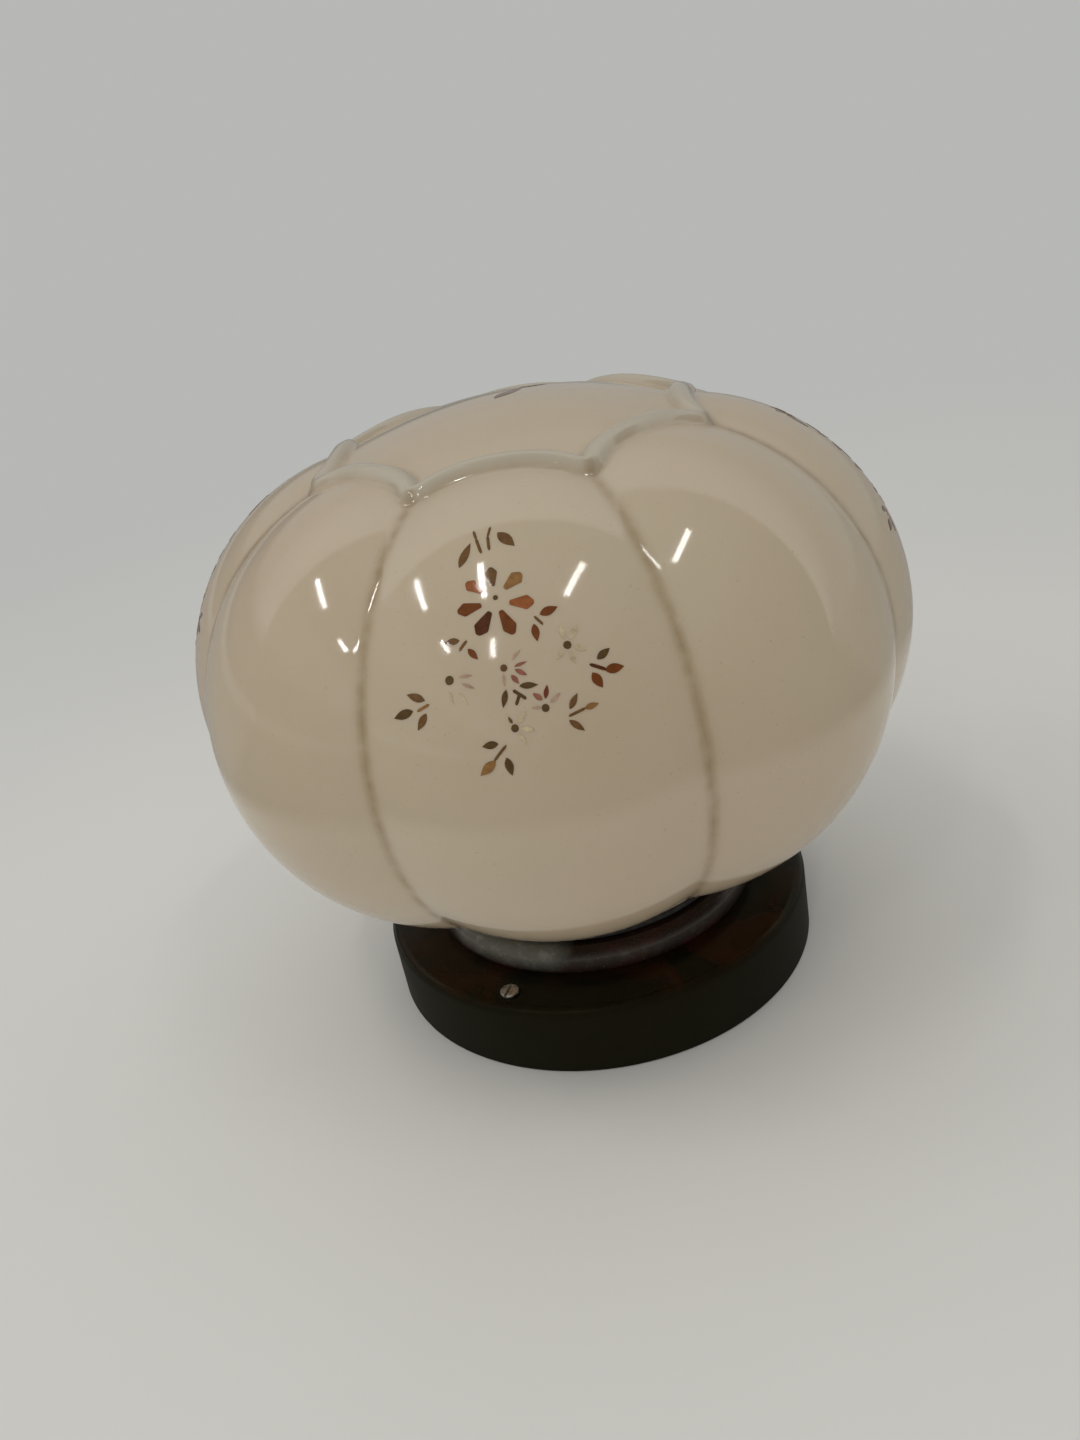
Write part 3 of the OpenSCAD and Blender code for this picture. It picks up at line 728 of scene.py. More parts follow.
@dataclass
class GlassShade:
    """The lobed glass: ball-shaped lobes, a domed cap, a raised bead round it and a screwed neck.

    Each lobe's sector has its own frame, with the lobe's middle plane at angle 0.
    """

    lobes: int = 8
    first: float = -90.0
    globe_r: float = 135.64
    lobe_r: float = 83.64
    equator: float = 137.1
    crown: float = 230.78
    cap_r: float = 170.1
    swell: float = 1.1
    brim: float = 50.0
    bead: float = 3.7
    wall: float = 4.0
    fillet: float = 1.6
    # Width of the dirt and painted shade along each groove.
    dirt_and_shade_w: float = 1.9
    seat: float = 41.1
    seat_r: float = 60.0
    seat_edge: float = 2.7
    flare: float = 10.0
    flare_h: float = 13.5
    inner_flare: float = 1.13
    neck_r: float = 53.0
    bore_r: float = 49.0
    neck_end: float = 26.3
    thread: Thread = Thread(start=28.3, turns=1.25, height=2.4, foot=3.4, crest=1.6)
    columns: int = 30
    cap_rows: int = 34
    lobe_rows: int = 78
    flare_rows: int = 7
    inner_cap_rows: int = 12
    inner_lobe_rows: int = 26

    @property
    def half(self) -> float:
        """Half of a lobe's sector, in radians."""
        return math.pi / self.lobes

    @property
    def offset(self) -> float:
        """Distance of a lobe's centre from the axis."""
        return self.globe_r - self.lobe_r

    @property
    def cap_z(self) -> float:
        """Height of the cap's centre."""
        return self.crown - self.cap_r

    def angles(self) -> np.ndarray:
        """Gives the angles of a sector's columns, closer together towards the grooves."""
        s = np.linspace(-1, 1, self.columns + 1)
        return self.half * (0.3 * s + 0.7 * np.sin(math.pi * s / 2))

    def lobe_reach(self, a: np.ndarray, tilt: np.ndarray, inset: float = 0.0) -> np.ndarray:
        """Measures from the middle to the lobes' surface, with the grooves a little filled.

        Args:
            a: angle of each column.
            tilt: angle above the equator.
            inset: how far the surface lies inside the outer one.

        Returns:
            The distance in millimetres.
        """
        def ball(b: np.ndarray) -> np.ndarray:
            """Measures to the ball of the lobe whose middle plane is b away."""
            c = np.cos(tilt) * np.cos(b)
            return self.offset * c + np.sqrt((self.lobe_r - inset) ** 2 - self.offset ** 2 * (1 - c * c))

        own, other = ball(a), ball(2 * self.half - np.abs(a))
        return own + np.maximum(self.fillet - np.abs(own - other), 0) ** 2 / (4 * self.fillet)

    def cap_reach(self, a: np.ndarray, tilt: np.ndarray, inset: float = 0.0) -> np.ndarray:
        """Measures from the middle to the domed cap, a little fuller towards the lobes' middles.

        Args:
            a: angle of each column.
            tilt: angle above the equator.
            inset: how far the surface lies inside the outer one.

        Returns:
            The distance in millimetres.
        """
        drop = self.equator - self.cap_z
        dome = -drop * np.sin(tilt) + np.sqrt((self.cap_r - inset) ** 2 - (drop * np.cos(tilt)) ** 2)
        fuller = (np.cos(tilt) / math.cos(math.radians(self.brim))) ** 4
        return dome + self.swell * fuller * np.cos(math.pi * a / (2 * self.half)) ** 2

    def meeting(self, a: np.ndarray, inset: float = 0.0) -> np.ndarray:
        """Finds the tilt at which the cap meets the lobe in each column."""
        return crossing(lambda t: self.cap_reach(a, t, inset) > self.lobe_reach(a, t, inset),
                        low=40, high=89, count=len(a))

    def landing(self, a: np.ndarray, r: float, z: float, slope: float, inset: float = 0.0) -> np.ndarray:
        """Finds the tilt at which the lobe comes down on the flare, a cone.

        Args:
            a: angle of each column.
            r: radius of the cone's foot.
            z: height of the cone's foot.
            slope: radius that the cone gains for each millimetre of height.
            inset: how far the lobe's surface lies inside the outer one.

        Returns:
            The tilt of each column.
        """
        def outside(tilt: np.ndarray) -> np.ndarray:
            """Tells where the lobe is outside the cone."""
            reach = self.lobe_reach(a, tilt, inset)
            return reach * np.cos(tilt) > r + (self.equator + reach * np.sin(tilt) - z) * slope

        return crossing(outside, low=-72, high=-30, count=len(a))

    def point(self, a: np.ndarray, tilt: np.ndarray, reach: np.ndarray) -> np.ndarray:
        """Gives the point at a distance from the middle."""
        return around(reach * np.cos(tilt), a, self.equator + reach * np.sin(tilt))

    def bead_lift(self, skin: np.ndarray, crest: np.ndarray) -> tuple[np.ndarray, np.ndarray]:
        """Works out how far the bead lifts each point of the skin, and how near its foot is.

        Args:
            skin: points on the skin.
            crest: the line that the bead follows, a point for each column.

        Returns:
            The lift in millimetres, and 1 at the bead's foot falling to 0 away from it.
        """
        past = np.linspace(2 * self.bead, 0.2, 20)[:, None]
        before, after = crest[0] - crest[1], crest[-1] - crest[-2]
        fine = np.linspace(0, len(crest) - 1, 12 * len(crest))
        path = np.concatenate([
            crest[0] + past * before / np.linalg.norm(before),
            np.stack([np.interp(fine, np.arange(len(crest)), axis) for axis in crest.T], -1),
            crest[-1] + past * after / np.linalg.norm(after),
        ])
        x = np.array([np.linalg.norm(row[:, None] - path, axis=-1).min(1) for row in skin]) / self.bead
        tube_end, tail_length = 0.85, 0.5
        tube_foot, foot_width = 1.2, 0.3
        level = math.sqrt(1 - tube_end ** 2)
        fall = tail_length * tube_end / level
        tube = np.sqrt(np.clip(1 - x * x, 0, 1))
        s = ramp(x, tube_end, tube_end + tail_length)
        tail = level * (2 * s ** 3 - 3 * s ** 2 + 1) - fall * (s ** 3 - 2 * s ** 2 + s)
        foot = np.exp(-((x - tube_foot) / foot_width) ** 2)
        return self.bead * np.where(x < tube_end, tube, tail), foot

    def bead_lean(self, a: np.ndarray, crest: np.ndarray) -> np.ndarray:
        """Works out the way the bead stands out, midway between the two skins and never across a groove.

        Args:
            a: angle of each column.
            crest: the line that the bead follows.

        Returns:
            A direction for each column.
        """
        lean = (crest - (0, 0, self.cap_z)) / self.cap_r
        lean = lean + (crest - (self.offset, 0, self.equator)) / self.lobe_r
        lean /= np.linalg.norm(lean, axis=-1, keepdims=True)
        sideways = around(1, a + math.pi / 2, 0 * a)
        share = (lean * sideways).sum(-1) * (np.abs(a) / self.half) ** 8
        return lean - sideways * share[:, None]

    def outer_skin(self, a: np.ndarray) -> tuple[np.ndarray, np.ndarray, np.ndarray]:
        """Shapes the outer skin of cap, bead and lobe, with its rows closer together towards the bead.

        Args:
            a: angle of each column.

        Returns:
            Its points, the dirt and painted shade on them and how much they are part of the bead.
        """
        meet = self.meeting(a)
        land = self.landing(a, self.seat_r, self.seat + self.seat_edge, self.flare / self.flare_h)
        down = 1 - (1 - np.linspace(0, 1, self.cap_rows)[:, None]) ** 1.7
        cap_tilt = math.pi / 2 + (meet - math.pi / 2) * down
        s = np.linspace(0, 1, self.lobe_rows)[1:, None]
        lobe_tilt = meet + (land - meet) * (0.45 * s + 0.55 * s ** 1.9)
        cap = self.point(a, cap_tilt, self.cap_reach(a, cap_tilt))
        skin = np.concatenate([cap, self.point(a, lobe_tilt, self.lobe_reach(a, lobe_tilt))])
        crest = cap[-1]
        away = np.abs(np.concatenate([cap_tilt, lobe_tilt]) - meet)
        beside = away * np.linalg.norm(crest - (0, 0, self.equator), axis=-1) < 3 * self.bead
        lift, foot = (value * beside for value in self.bead_lift(skin, crest))
        skin = skin + lift[..., None] * self.bead_lean(a, crest)
        # Dirt and painted shade darken the grooves and the bead's foot.
        side = np.hypot(skin[..., 0], skin[..., 1]) * np.sin(self.half - np.abs(a))
        groove = np.exp(-(side / self.dirt_and_shade_w) ** 2)
        groove[:len(cap)] = 0
        return skin, np.clip(0.9 * groove + 0.35 * foot, 0, 1), np.clip(1.3 * lift / self.bead, 0, 1)

    def flare_skin(self, a: np.ndarray, end: np.ndarray) -> tuple[np.ndarray, np.ndarray]:
        """Shapes the flare under the lobe and the rounded edge of the seat.

        Args:
            a: angle of each column.
            end: the lobe's last row of points.

        Returns:
            Its points and the dirt and painted shade on them.
        """
        r, z, edge = np.hypot(end[:, 0], end[:, 1]), end[:, 2], self.seat + self.seat_edge
        # The flare and seat get dirt and painted shade, strongest where the flare leaves the lobe, with a
        # little on the seat.
        rows = [(r + (self.seat_r - r) * t, z + (edge - z) * t, 0.5 * (1 - t))
                for t in np.linspace(0, 1, self.flare_rows)[1:]]
        for back, rise in ((0, 0.7), (0.2, 0.2), (0.7, 0), (self.seat_r - self.neck_r - 0.6, 0)):
            rows.append((self.seat_r - back, self.seat + rise, 0.3))
        points = np.array([around(r, a, z) for r, z, _ in rows])
        return points, np.array([dirt_and_shade + 0 * a for _, _, dirt_and_shade in rows])

    def inner_skin(self, a: np.ndarray) -> np.ndarray:
        """Shapes the inner skin down to the neck's bore.

        Args:
            a: angle of each column.

        Returns:
            Its points.
        """
        low = self.seat + self.wall
        meet = self.meeting(a, self.wall)
        land = self.landing(a, self.bore_r, low, self.inner_flare, self.wall)
        cap = math.pi / 2 + (meet - math.pi / 2) * np.linspace(0, 1, self.inner_cap_rows)[:, None]
        lobe = meet + (land - meet) * np.linspace(0, 1, self.inner_lobe_rows)[1:, None]
        return np.concatenate([
            self.point(a, cap, self.cap_reach(a, cap, self.wall)),
            self.point(a, lobe, self.lobe_reach(a, lobe, self.wall)),
            around(self.bore_r, a, low)[None],
        ])

    def sector(self) -> Piece:
        """Shapes one lobe's share of the glass, open at its sides and at the neck.

        Returns:
            The outer and the inner skin.
        """
        a = self.angles()
        skin, dirt_and_shade, bead = self.outer_skin(a)
        flare, flare_dirt_and_shade = self.flare_skin(a, skin[-1])
        outer, crease = np.concatenate([skin, flare]), np.concatenate([dirt_and_shade, flare_dirt_and_shade])
        raised = np.concatenate([bead, 0 * flare_dirt_and_shade])
        piece = Piece("glass_sector").grid(outer[::-1], crease=crease[::-1], bead=raised[::-1])
        return piece.grid(self.inner_skin(a))

    def neck(self) -> Piece:
        """Shapes the screwed neck, with the same columns as the ring of sectors.

        Returns:
            The neck, open at its top.
        """
        starts = math.radians(self.first) + 2 * self.half * np.arange(self.lobes)
        a = (self.angles()[:-1] + starts[:, None]).reshape(-1)
        r, bore, top, low = self.neck_r, self.bore_r, self.seat, self.neck_end
        profile = [(r + 0.6, top), (r + 0.15, top - 0.2), (r, top - 0.7)]
        profile += [(r, z) for z in np.arange(top - 1.1, low + 1.2, -0.4)]
        profile += [(r, low + 1), (r - 0.3, low + 0.3), (r - 1, low)]
        profile += [(bore + 1, low), (bore + 0.3, low + 0.3), (bore, low + 1)]
        profile += [(bore, z) for z in np.linspace(low + 4, top + self.wall, 6)]
        radius, z = (column[:, None] + 0 * a for column in np.array(profile).T)
        outside = (radius > r - 0.01) & (z < top - 0.6)
        radius = radius + outside * self.thread.rise(np.mod(a, FULL_TURN), z)
        return Piece("glass_neck").grid(around(radius, a, z)[::-1], closed_columns=True)

    def build(self, finish: Material) -> None:
        """Repeats the sector round the axis, joins the neck and settles the glass.

        Args:
            finish: the glass's material.
        """
        parts = (self.sector().item(), self.neck().item())
        whole = ring("glass_shade_skin", parts, self.lobes, self.first, finish, sharp=50)
        settle(whole, Body.SHADE, finish, ["glass_shade"])


@dataclass(frozen=True)
class Mark:
    """One stroke of the stencil on the flat drawing: from its narrow end, or from a dot's left edge."""

    kind: Stroke
    start: Pair
    end: Pair
    width: float
    ink: Ink


def petal(x0: float, y0: float, x1: float, y1: float, width: float, ink: Ink) -> Mark:
    """Gives a kite-shaped petal of the large flower."""
    return Mark(Stroke.KITE, (x0, y0), (x1, y1), width, ink)


def leaf(x0: float, y0: float, x1: float, y1: float, width: float, ink: Ink) -> Mark:
    """Gives a pointed leaf or a slim petal."""
    return Mark(Stroke.LEAF, (x0, y0), (x1, y1), width, ink)


def stem(x0: float, y0: float, x1: float, y1: float, width: float, ink: Ink) -> Mark:
    """Gives a straight thin stem."""
    return Mark(Stroke.LINE, (x0, y0), (x1, y1), width, ink)


def eye(x: float, y: float, r: float, ink: Ink) -> Mark:
    """Gives the round middle of a flower."""
    return Mark(Stroke.DOT, (x - r, y), (x + r, y), 2 * r, ink)


@dataclass
class FlowerSpray:
    """Stencilled sprays: one on every second lobe, and a small sprig on the cap's top."""

    side: float = -1.0
    rise: float = 34.0
    copies: int = 4
    sway: float = 9.5
    thick: float = 0.09

    def spray(self) -> list[Mark]:
        """Draws the spray of a lobe, in millimetres right and up from its middle.

        Returns:
            Its strokes.
        """
        i = Ink
        crown = [
            leaf(-11.5, 26.6, -7.9, 34.4, 2.7, i.SEPIA), leaf(0.4, 36.6, 5.2, 30.9, 3.5, i.SEPIA),
            stem(-6.9, 38.8, -6.1, 35.5, 0.85, i.SEPIA), stem(-6.2, 35.8, -4.7, 30.1, 0.95, i.SEPIA),
            stem(-1.7, 39.3, -2.6, 35.7, 0.75, i.SEPIA), stem(-2.6, 36.0, -2.3, 30.7, 0.9, i.SEPIA),
        ]
        flower = [
            petal(2.3, 12.9, 9.1, 12.1, 4.2, i.RUST), petal(1.3, 17.3, 6.4, 21.4, 4.2, i.TAN),
            petal(-1.9, 18.6, -2.3, 24.7, 3.5, i.SEPIA), petal(-5.2, 17.3, -9.6, 21.2, 3.6, i.RUST),
            petal(-5.6, 13.4, -12.7, 12.7, 4.0, i.CHESTNUT), petal(-3.3, 11.0, -7.5, 4.9, 4.4, i.UMBER),
            petal(-0.4, 10.9, 2.6, 3.6, 4.0, i.CHESTNUT), eye(-1.5, 15.0, 0.75, i.OLIVE),
        ]
        right = [
            leaf(10.3, 8.2, 15.4, 9.9, 2.6, i.CHESTNUT), leaf(8.4, 5.7, 8.8, 0.7, 2.2, i.CHESTNUT),
            stem(8.7, 7.9, 10.9, 5.2, 0.75, i.SEPIA), eye(16.8, -1.3, 1.15, i.OLIVE),
            leaf(17.6, 0.2, 20.4, 4.4, 1.8, i.CREAM), leaf(16.4, 0.4, 15.4, 4.6, 1.7, i.CREAM),
            leaf(18.4, -1.9, 22.0, -3.2, 1.7, i.CREAM), leaf(17.2, -3.0, 18.4, -6.6, 1.7, i.CREAM),
            leaf(15.6, -2.4, 13.2, -5.0, 1.7, i.CREAM), leaf(24.5, -6.1, 28.4, -3.3, 2.2, i.OLIVE),
            leaf(26.3, -9.4, 31.9, -8.7, 2.8, i.CHESTNUT), leaf(22.7, -9.7, 25.1, -14.1, 2.8, i.CHESTNUT),
            stem(22.2, -7.3, 26.8, -9.25, 1.0, i.UMBER),
        ]
        left = [
            leaf(-12.9, 4.3, -17.3, 4.4, 2.0, i.SEPIA), leaf(-10.7, 1.5, -8.2, -1.9, 1.9, i.CHESTNUT),
            stem(-13.3, 1.4, -10.8, 3.9, 0.85, i.SEPIA), eye(-17.2, -6.3, 1.3, i.OLIVE),
            leaf(-14.2, -5.9, -10.4, -6.0, 0.9, i.BLUSH), leaf(-13.7, -7.8, -10.2, -9.7, 1.0, i.BLUSH),
            leaf(-17.6, -9.6, -17.0, -13.2, 0.9, i.CREAM), leaf(-14.9, -10.2, -12.8, -13.7, 0.9, i.CREAM),
            leaf(-25.6, -10.6, -31.2, -7.9, 2.4, i.SEPIA), leaf(-30.0, -12.9, -36.8, -13.9, 2.8, i.OLIVE),
            leaf(-25.8, -14.3, -29.4, -18.6, 2.4, i.SEPIA), stem(-28.6, -13.2, -24.4, -11.9, 0.85, i.TAN),
        ]
        middle = [
            eye(-1.3, -5.4, 1.0, i.SEPIA), leaf(1.1, -3.5, 3.8, -1.0, 0.9, i.BLUSH),
            leaf(1.6, -5.4, 5.2, -4.5, 0.9, i.ROSE), leaf(1.7, -6.2, 4.8, -8.2, 1.4, i.ROSE),
            leaf(0.5, -7.6, 2.3, -10.2, 1.5, i.ROSE), leaf(-1.6, -6.9, -1.8, -10.6, 0.8, i.BLUSH),
            leaf(2.3, -10.9, 7.4, -11.2, 1.8, i.OLIVE), leaf(-1.5, -11.4, -3.0, -16.2, 1.7, i.OLIVE),
            stem(0.4, -11.8, 2.3, -13.4, 0.95, i.OLIVE), stem(1.9, -13.0, 3.7, -14.6, 0.95, i.OLIVE),
            stem(2.1, -13.1, 0.7, -16.0, 0.9, i.OLIVE), eye(8.6, -17.8, 1.1, i.OLIVE),
            leaf(8.9, -15.3, 9.9, -11.6, 1.4, i.CRIMSON), leaf(8.1, -15.5, 5.7, -13.4, 1.6, i.ROSE),
            leaf(10.1, -16.6, 13.2, -14.2, 1.2, i.BLUSH), leaf(7.4, -17.4, 4.8, -17.3, 1.0, i.BLUSH),
        ]
        low = [
            leaf(15.2, -19.0, 17.8, -14.9, 1.8, i.SEPIA), leaf(19.3, -19.3, 23.4, -18.3, 1.8, i.TAN),
            leaf(14.6, -22.0, 18.6, -25.4, 1.9, i.SEPIA), stem(14.7, -20.9, 19.6, -19.2, 0.8, i.SEPIA),
            eye(-0.6, -22.2, 1.1, i.OLIVE), leaf(-1.1, -20.8, -2.0, -18.8, 0.9, i.SEPIA),
            leaf(0.6, -21.0, 3.0, -18.0, 1.5, i.CREAM), leaf(1.0, -22.6, 4.8, -23.4, 1.6, i.CREAM),
            leaf(0.2, -23.8, 2.0, -27.2, 1.5, i.CREAM), leaf(-6.0, -25.8, -10.7, -26.0, 2.2, i.OLIVE),
            leaf(-7.6, -30.5, -12.8, -34.1, 2.8, i.TAN), leaf(-4.3, -30.0, -3.6, -35.3, 2.4, i.OLIVE),
            stem(-8.1, -30.5, -3.8, -26.5, 0.8, i.SEPIA),
        ]
        return crown + flower + right + left + middle + low

    def sprig(self) -> list[Mark]:
        """Draws the sprig on the cap, in millimetres right and back from the axis.

        Returns:
            Its strokes.
        """
        return [
            leaf(-3.0, -2.5, 6.1, 13.0, 5.5, Ink.CHESTNUT), leaf(8.2, 16.4, 14.6, 19.0, 3.0, Ink.OLIVE),
            stem(5.4, 17.8, 9.0, 13.6, 0.6, Ink.SEPIA),
        ]

    def stroke_shape(self, kind: Stroke) -> Item:
        """Makes a thin closed plate of one stencil shape along +X, a millimetre long and wide.

        Args:
            kind: the shape.

        Returns:
            The plate, to be stamped.
        """
        t = np.linspace(0, 1, 13)
        if kind is Stroke.KITE:
            t = np.array([0.0, 0.03, 0.35, 0.66, 0.71, 0.76, 0.96, 1.0])
            half = np.array([0.1, 0.17, 0.335, 0.49, 0.5, 0.47, 0.2, 0.1])
        elif kind is Stroke.LEAF:
            half = 0.5 * np.sin(math.pi * t ** 0.85) ** 0.92
            half[[0, -1]] = 0.02
        elif kind is Stroke.LINE:
            half = 0.5 * np.clip(np.minimum(t, 1 - t) * 9, 0.35, 1)
        else:
            half = np.sqrt(np.clip(0.25 - (t - 0.5) ** 2, 0.0004, 1))
        section = ((-1, -1), (-1, 1), (0, 1.25), (1, 1), (1, -1))
        net = np.array([[(x, w * u, self.thick * v) for u, v in section] for x, w in zip(t, half)])
        tips = [np.repeat(net[k].mean(0)[None, None], len(section), 1) for k in (-1, 0)]
        plate = np.concatenate([tips[0], net[::-1], tips[1]])
        return Piece(f"stroke_{kind.name.lower()}").grid(plate, closed_columns=True).item(weld=1e-7)

    def points(self, marks: Sequence[Mark], name: str) -> bpy.types.Mesh:
        """Turns a drawing into points, each with its kind, turn, size and tint.

        Args:
            marks: the strokes.
            name: the mesh's name.

        Returns:
            A mesh of loose points.
        """
        data = bpy.data.meshes.new(name)
        data.from_pydata([(m.start[0] * MM, m.start[1] * MM, 0) for m in marks], [], [])
        x, y = np.array([np.subtract(m.end, m.start) for m in marks]).T
        for label, kind, key, values in (
            ("kind", "INT", "value", [m.kind.value for m in marks]),
            ("turn", "FLOAT", "value", np.arctan2(y, x)),
            ("size", "FLOAT_VECTOR", "vector", [(s, m.width, 1.0) for s, m in zip(np.hypot(x, y), marks)]),
            ("tint", "FLOAT_COLOR", "color", [(*m.ink.value, 1.0) for m in marks]),
        ):
            data.attributes.new(label, kind, "POINT").data.foreach_set(key, np.ravel(values).tolist())
        return data

    def stamp(self, name: str, marks: Sequence[Mark], finish: Material, **values: object) -> None:
        """Stamps a drawing's strokes, bends it over a ball, repeats it round the axis and settles it.

        Args:
            name: the piece's name.
            marks: the drawing.
            finish: the enamel.
            values: the ball's centre and radius, the drawing's directions and the number of copies.
        """
        g = ShapeTree(f"{name}_tree", Geometry="Geometry", Ball="Vector", Radius="Float", Out="Vector",
                      Across="Vector", Up="Vector", Copies="Int", Sway="Float")
        entry = g.entry
        shapes = {kind: self.stroke_shape(kind) for kind in Stroke}
        spin = g.add("ShaderNodeCombineXYZ", Z=g.named("turn", "FLOAT"))
        join = g.add("GeometryNodeJoinGeometry")
        for kind, shape in shapes.items():
            same = g.add("FunctionNodeCompare", None, None, g.named("kind", "INT"), kind.value,
                         data_type="INT", operation="EQUAL")
            stamped = g.add("GeometryNodeInstanceOnPoints", entry["Geometry"], same, g.item(shape),
                            Rotation=spin, Scale=g.named("size", "FLOAT_VECTOR"))
            g.put(join.inputs[0], stamped)
        x, y, z = g.split(g.add("GeometryNodeInputPosition"))
        reach = g.math("SQRT", g.math("ADD", g.math("MULTIPLY", x, x), g.math("MULTIPLY", y, y)))
        bend = g.math("DIVIDE", reach, entry["Radius"])
        part = g.math("DIVIDE", g.math("SINE", bend), g.math("MAXIMUM", reach, 1e-7))
        flank = g.add("ShaderNodeVectorMath", g.scale(entry["Across"], g.math("MULTIPLY", x, part)),
                      g.scale(entry["Up"], g.math("MULTIPLY", y, part)))
        aim = g.add("ShaderNodeVectorMath", flank, g.scale(entry["Out"], g.math("COSINE", bend))).outputs[0]
        wrap = g.add("GeometryNodeSetPosition", g.add("GeometryNodeRealizeInstances", join),
                     Position=g.scale(aim, g.math("ADD", entry["Radius"], z)))
        index = g.add("GeometryNodeInputIndex").outputs[0]
        turn = g.math("MULTIPLY", index, g.math("DIVIDE", FULL_TURN, entry["Copies"]))
        orbit = g.add("ShaderNodeVectorRotate", entry["Ball"], rotation_type="Z_AXIS", Angle=turn)
        askew = g.math("MULTIPLY", g.math("SINE", index), entry["Sway"])
        copies = g.add("GeometryNodeInstanceOnPoints", g.add("GeometryNodePoints", entry["Copies"], orbit),
                       Instance=wrap, Rotation=g.add("ShaderNodeCombineXYZ", Z=g.math("ADD", turn, askew)))
        real = g.add("GeometryNodeRealizeInstances", copies)
        g.add("NodeGroupOutput", g.add("GeometryNodeSetMaterial", real, Material=finish))
        start = self.points(marks, f"{name}_marks")
        whole = g.bake(name, sharp=50, start=start, Sway=math.radians(self.sway), **values)
        settle(whole, Body.SHADE, finish)
        for shape in shapes.values():
            bpy.data.objects.remove(shape)

    def build(self, finish: Material, glass: GlassShade) -> None:
        """Stamps the sprays on the lobes and the sprig on the cap.

        Args:
            finish: the enamel.
            glass: the shade that carries them.
        """
        turn, tilt = math.radians(self.side), math.radians(self.rise)
        out = Vector((math.sin(turn) * math.cos(tilt), -math.cos(turn) * math.cos(tilt), math.sin(tilt)))
        across = Vector((math.cos(turn), math.sin(turn), 0))
        ball, cap = Vector((0, -glass.offset, glass.equator)), Vector((0, 0, glass.cap_z))
        self.stamp("flower_sprays", self.spray(), finish, Ball=ball * MM, Radius=glass.lobe_r * MM, Out=out,
                   Across=across, Up=out.cross(across), Copies=self.copies)
        self.stamp("cap_sprig", self.sprig(), finish, Ball=cap * MM, Radius=glass.cap_r * MM,
                   Out=Vector((0, 0, 1)), Across=Vector((1, 0, 0)), Up=Vector((0, 1, 0)), Copies=1)


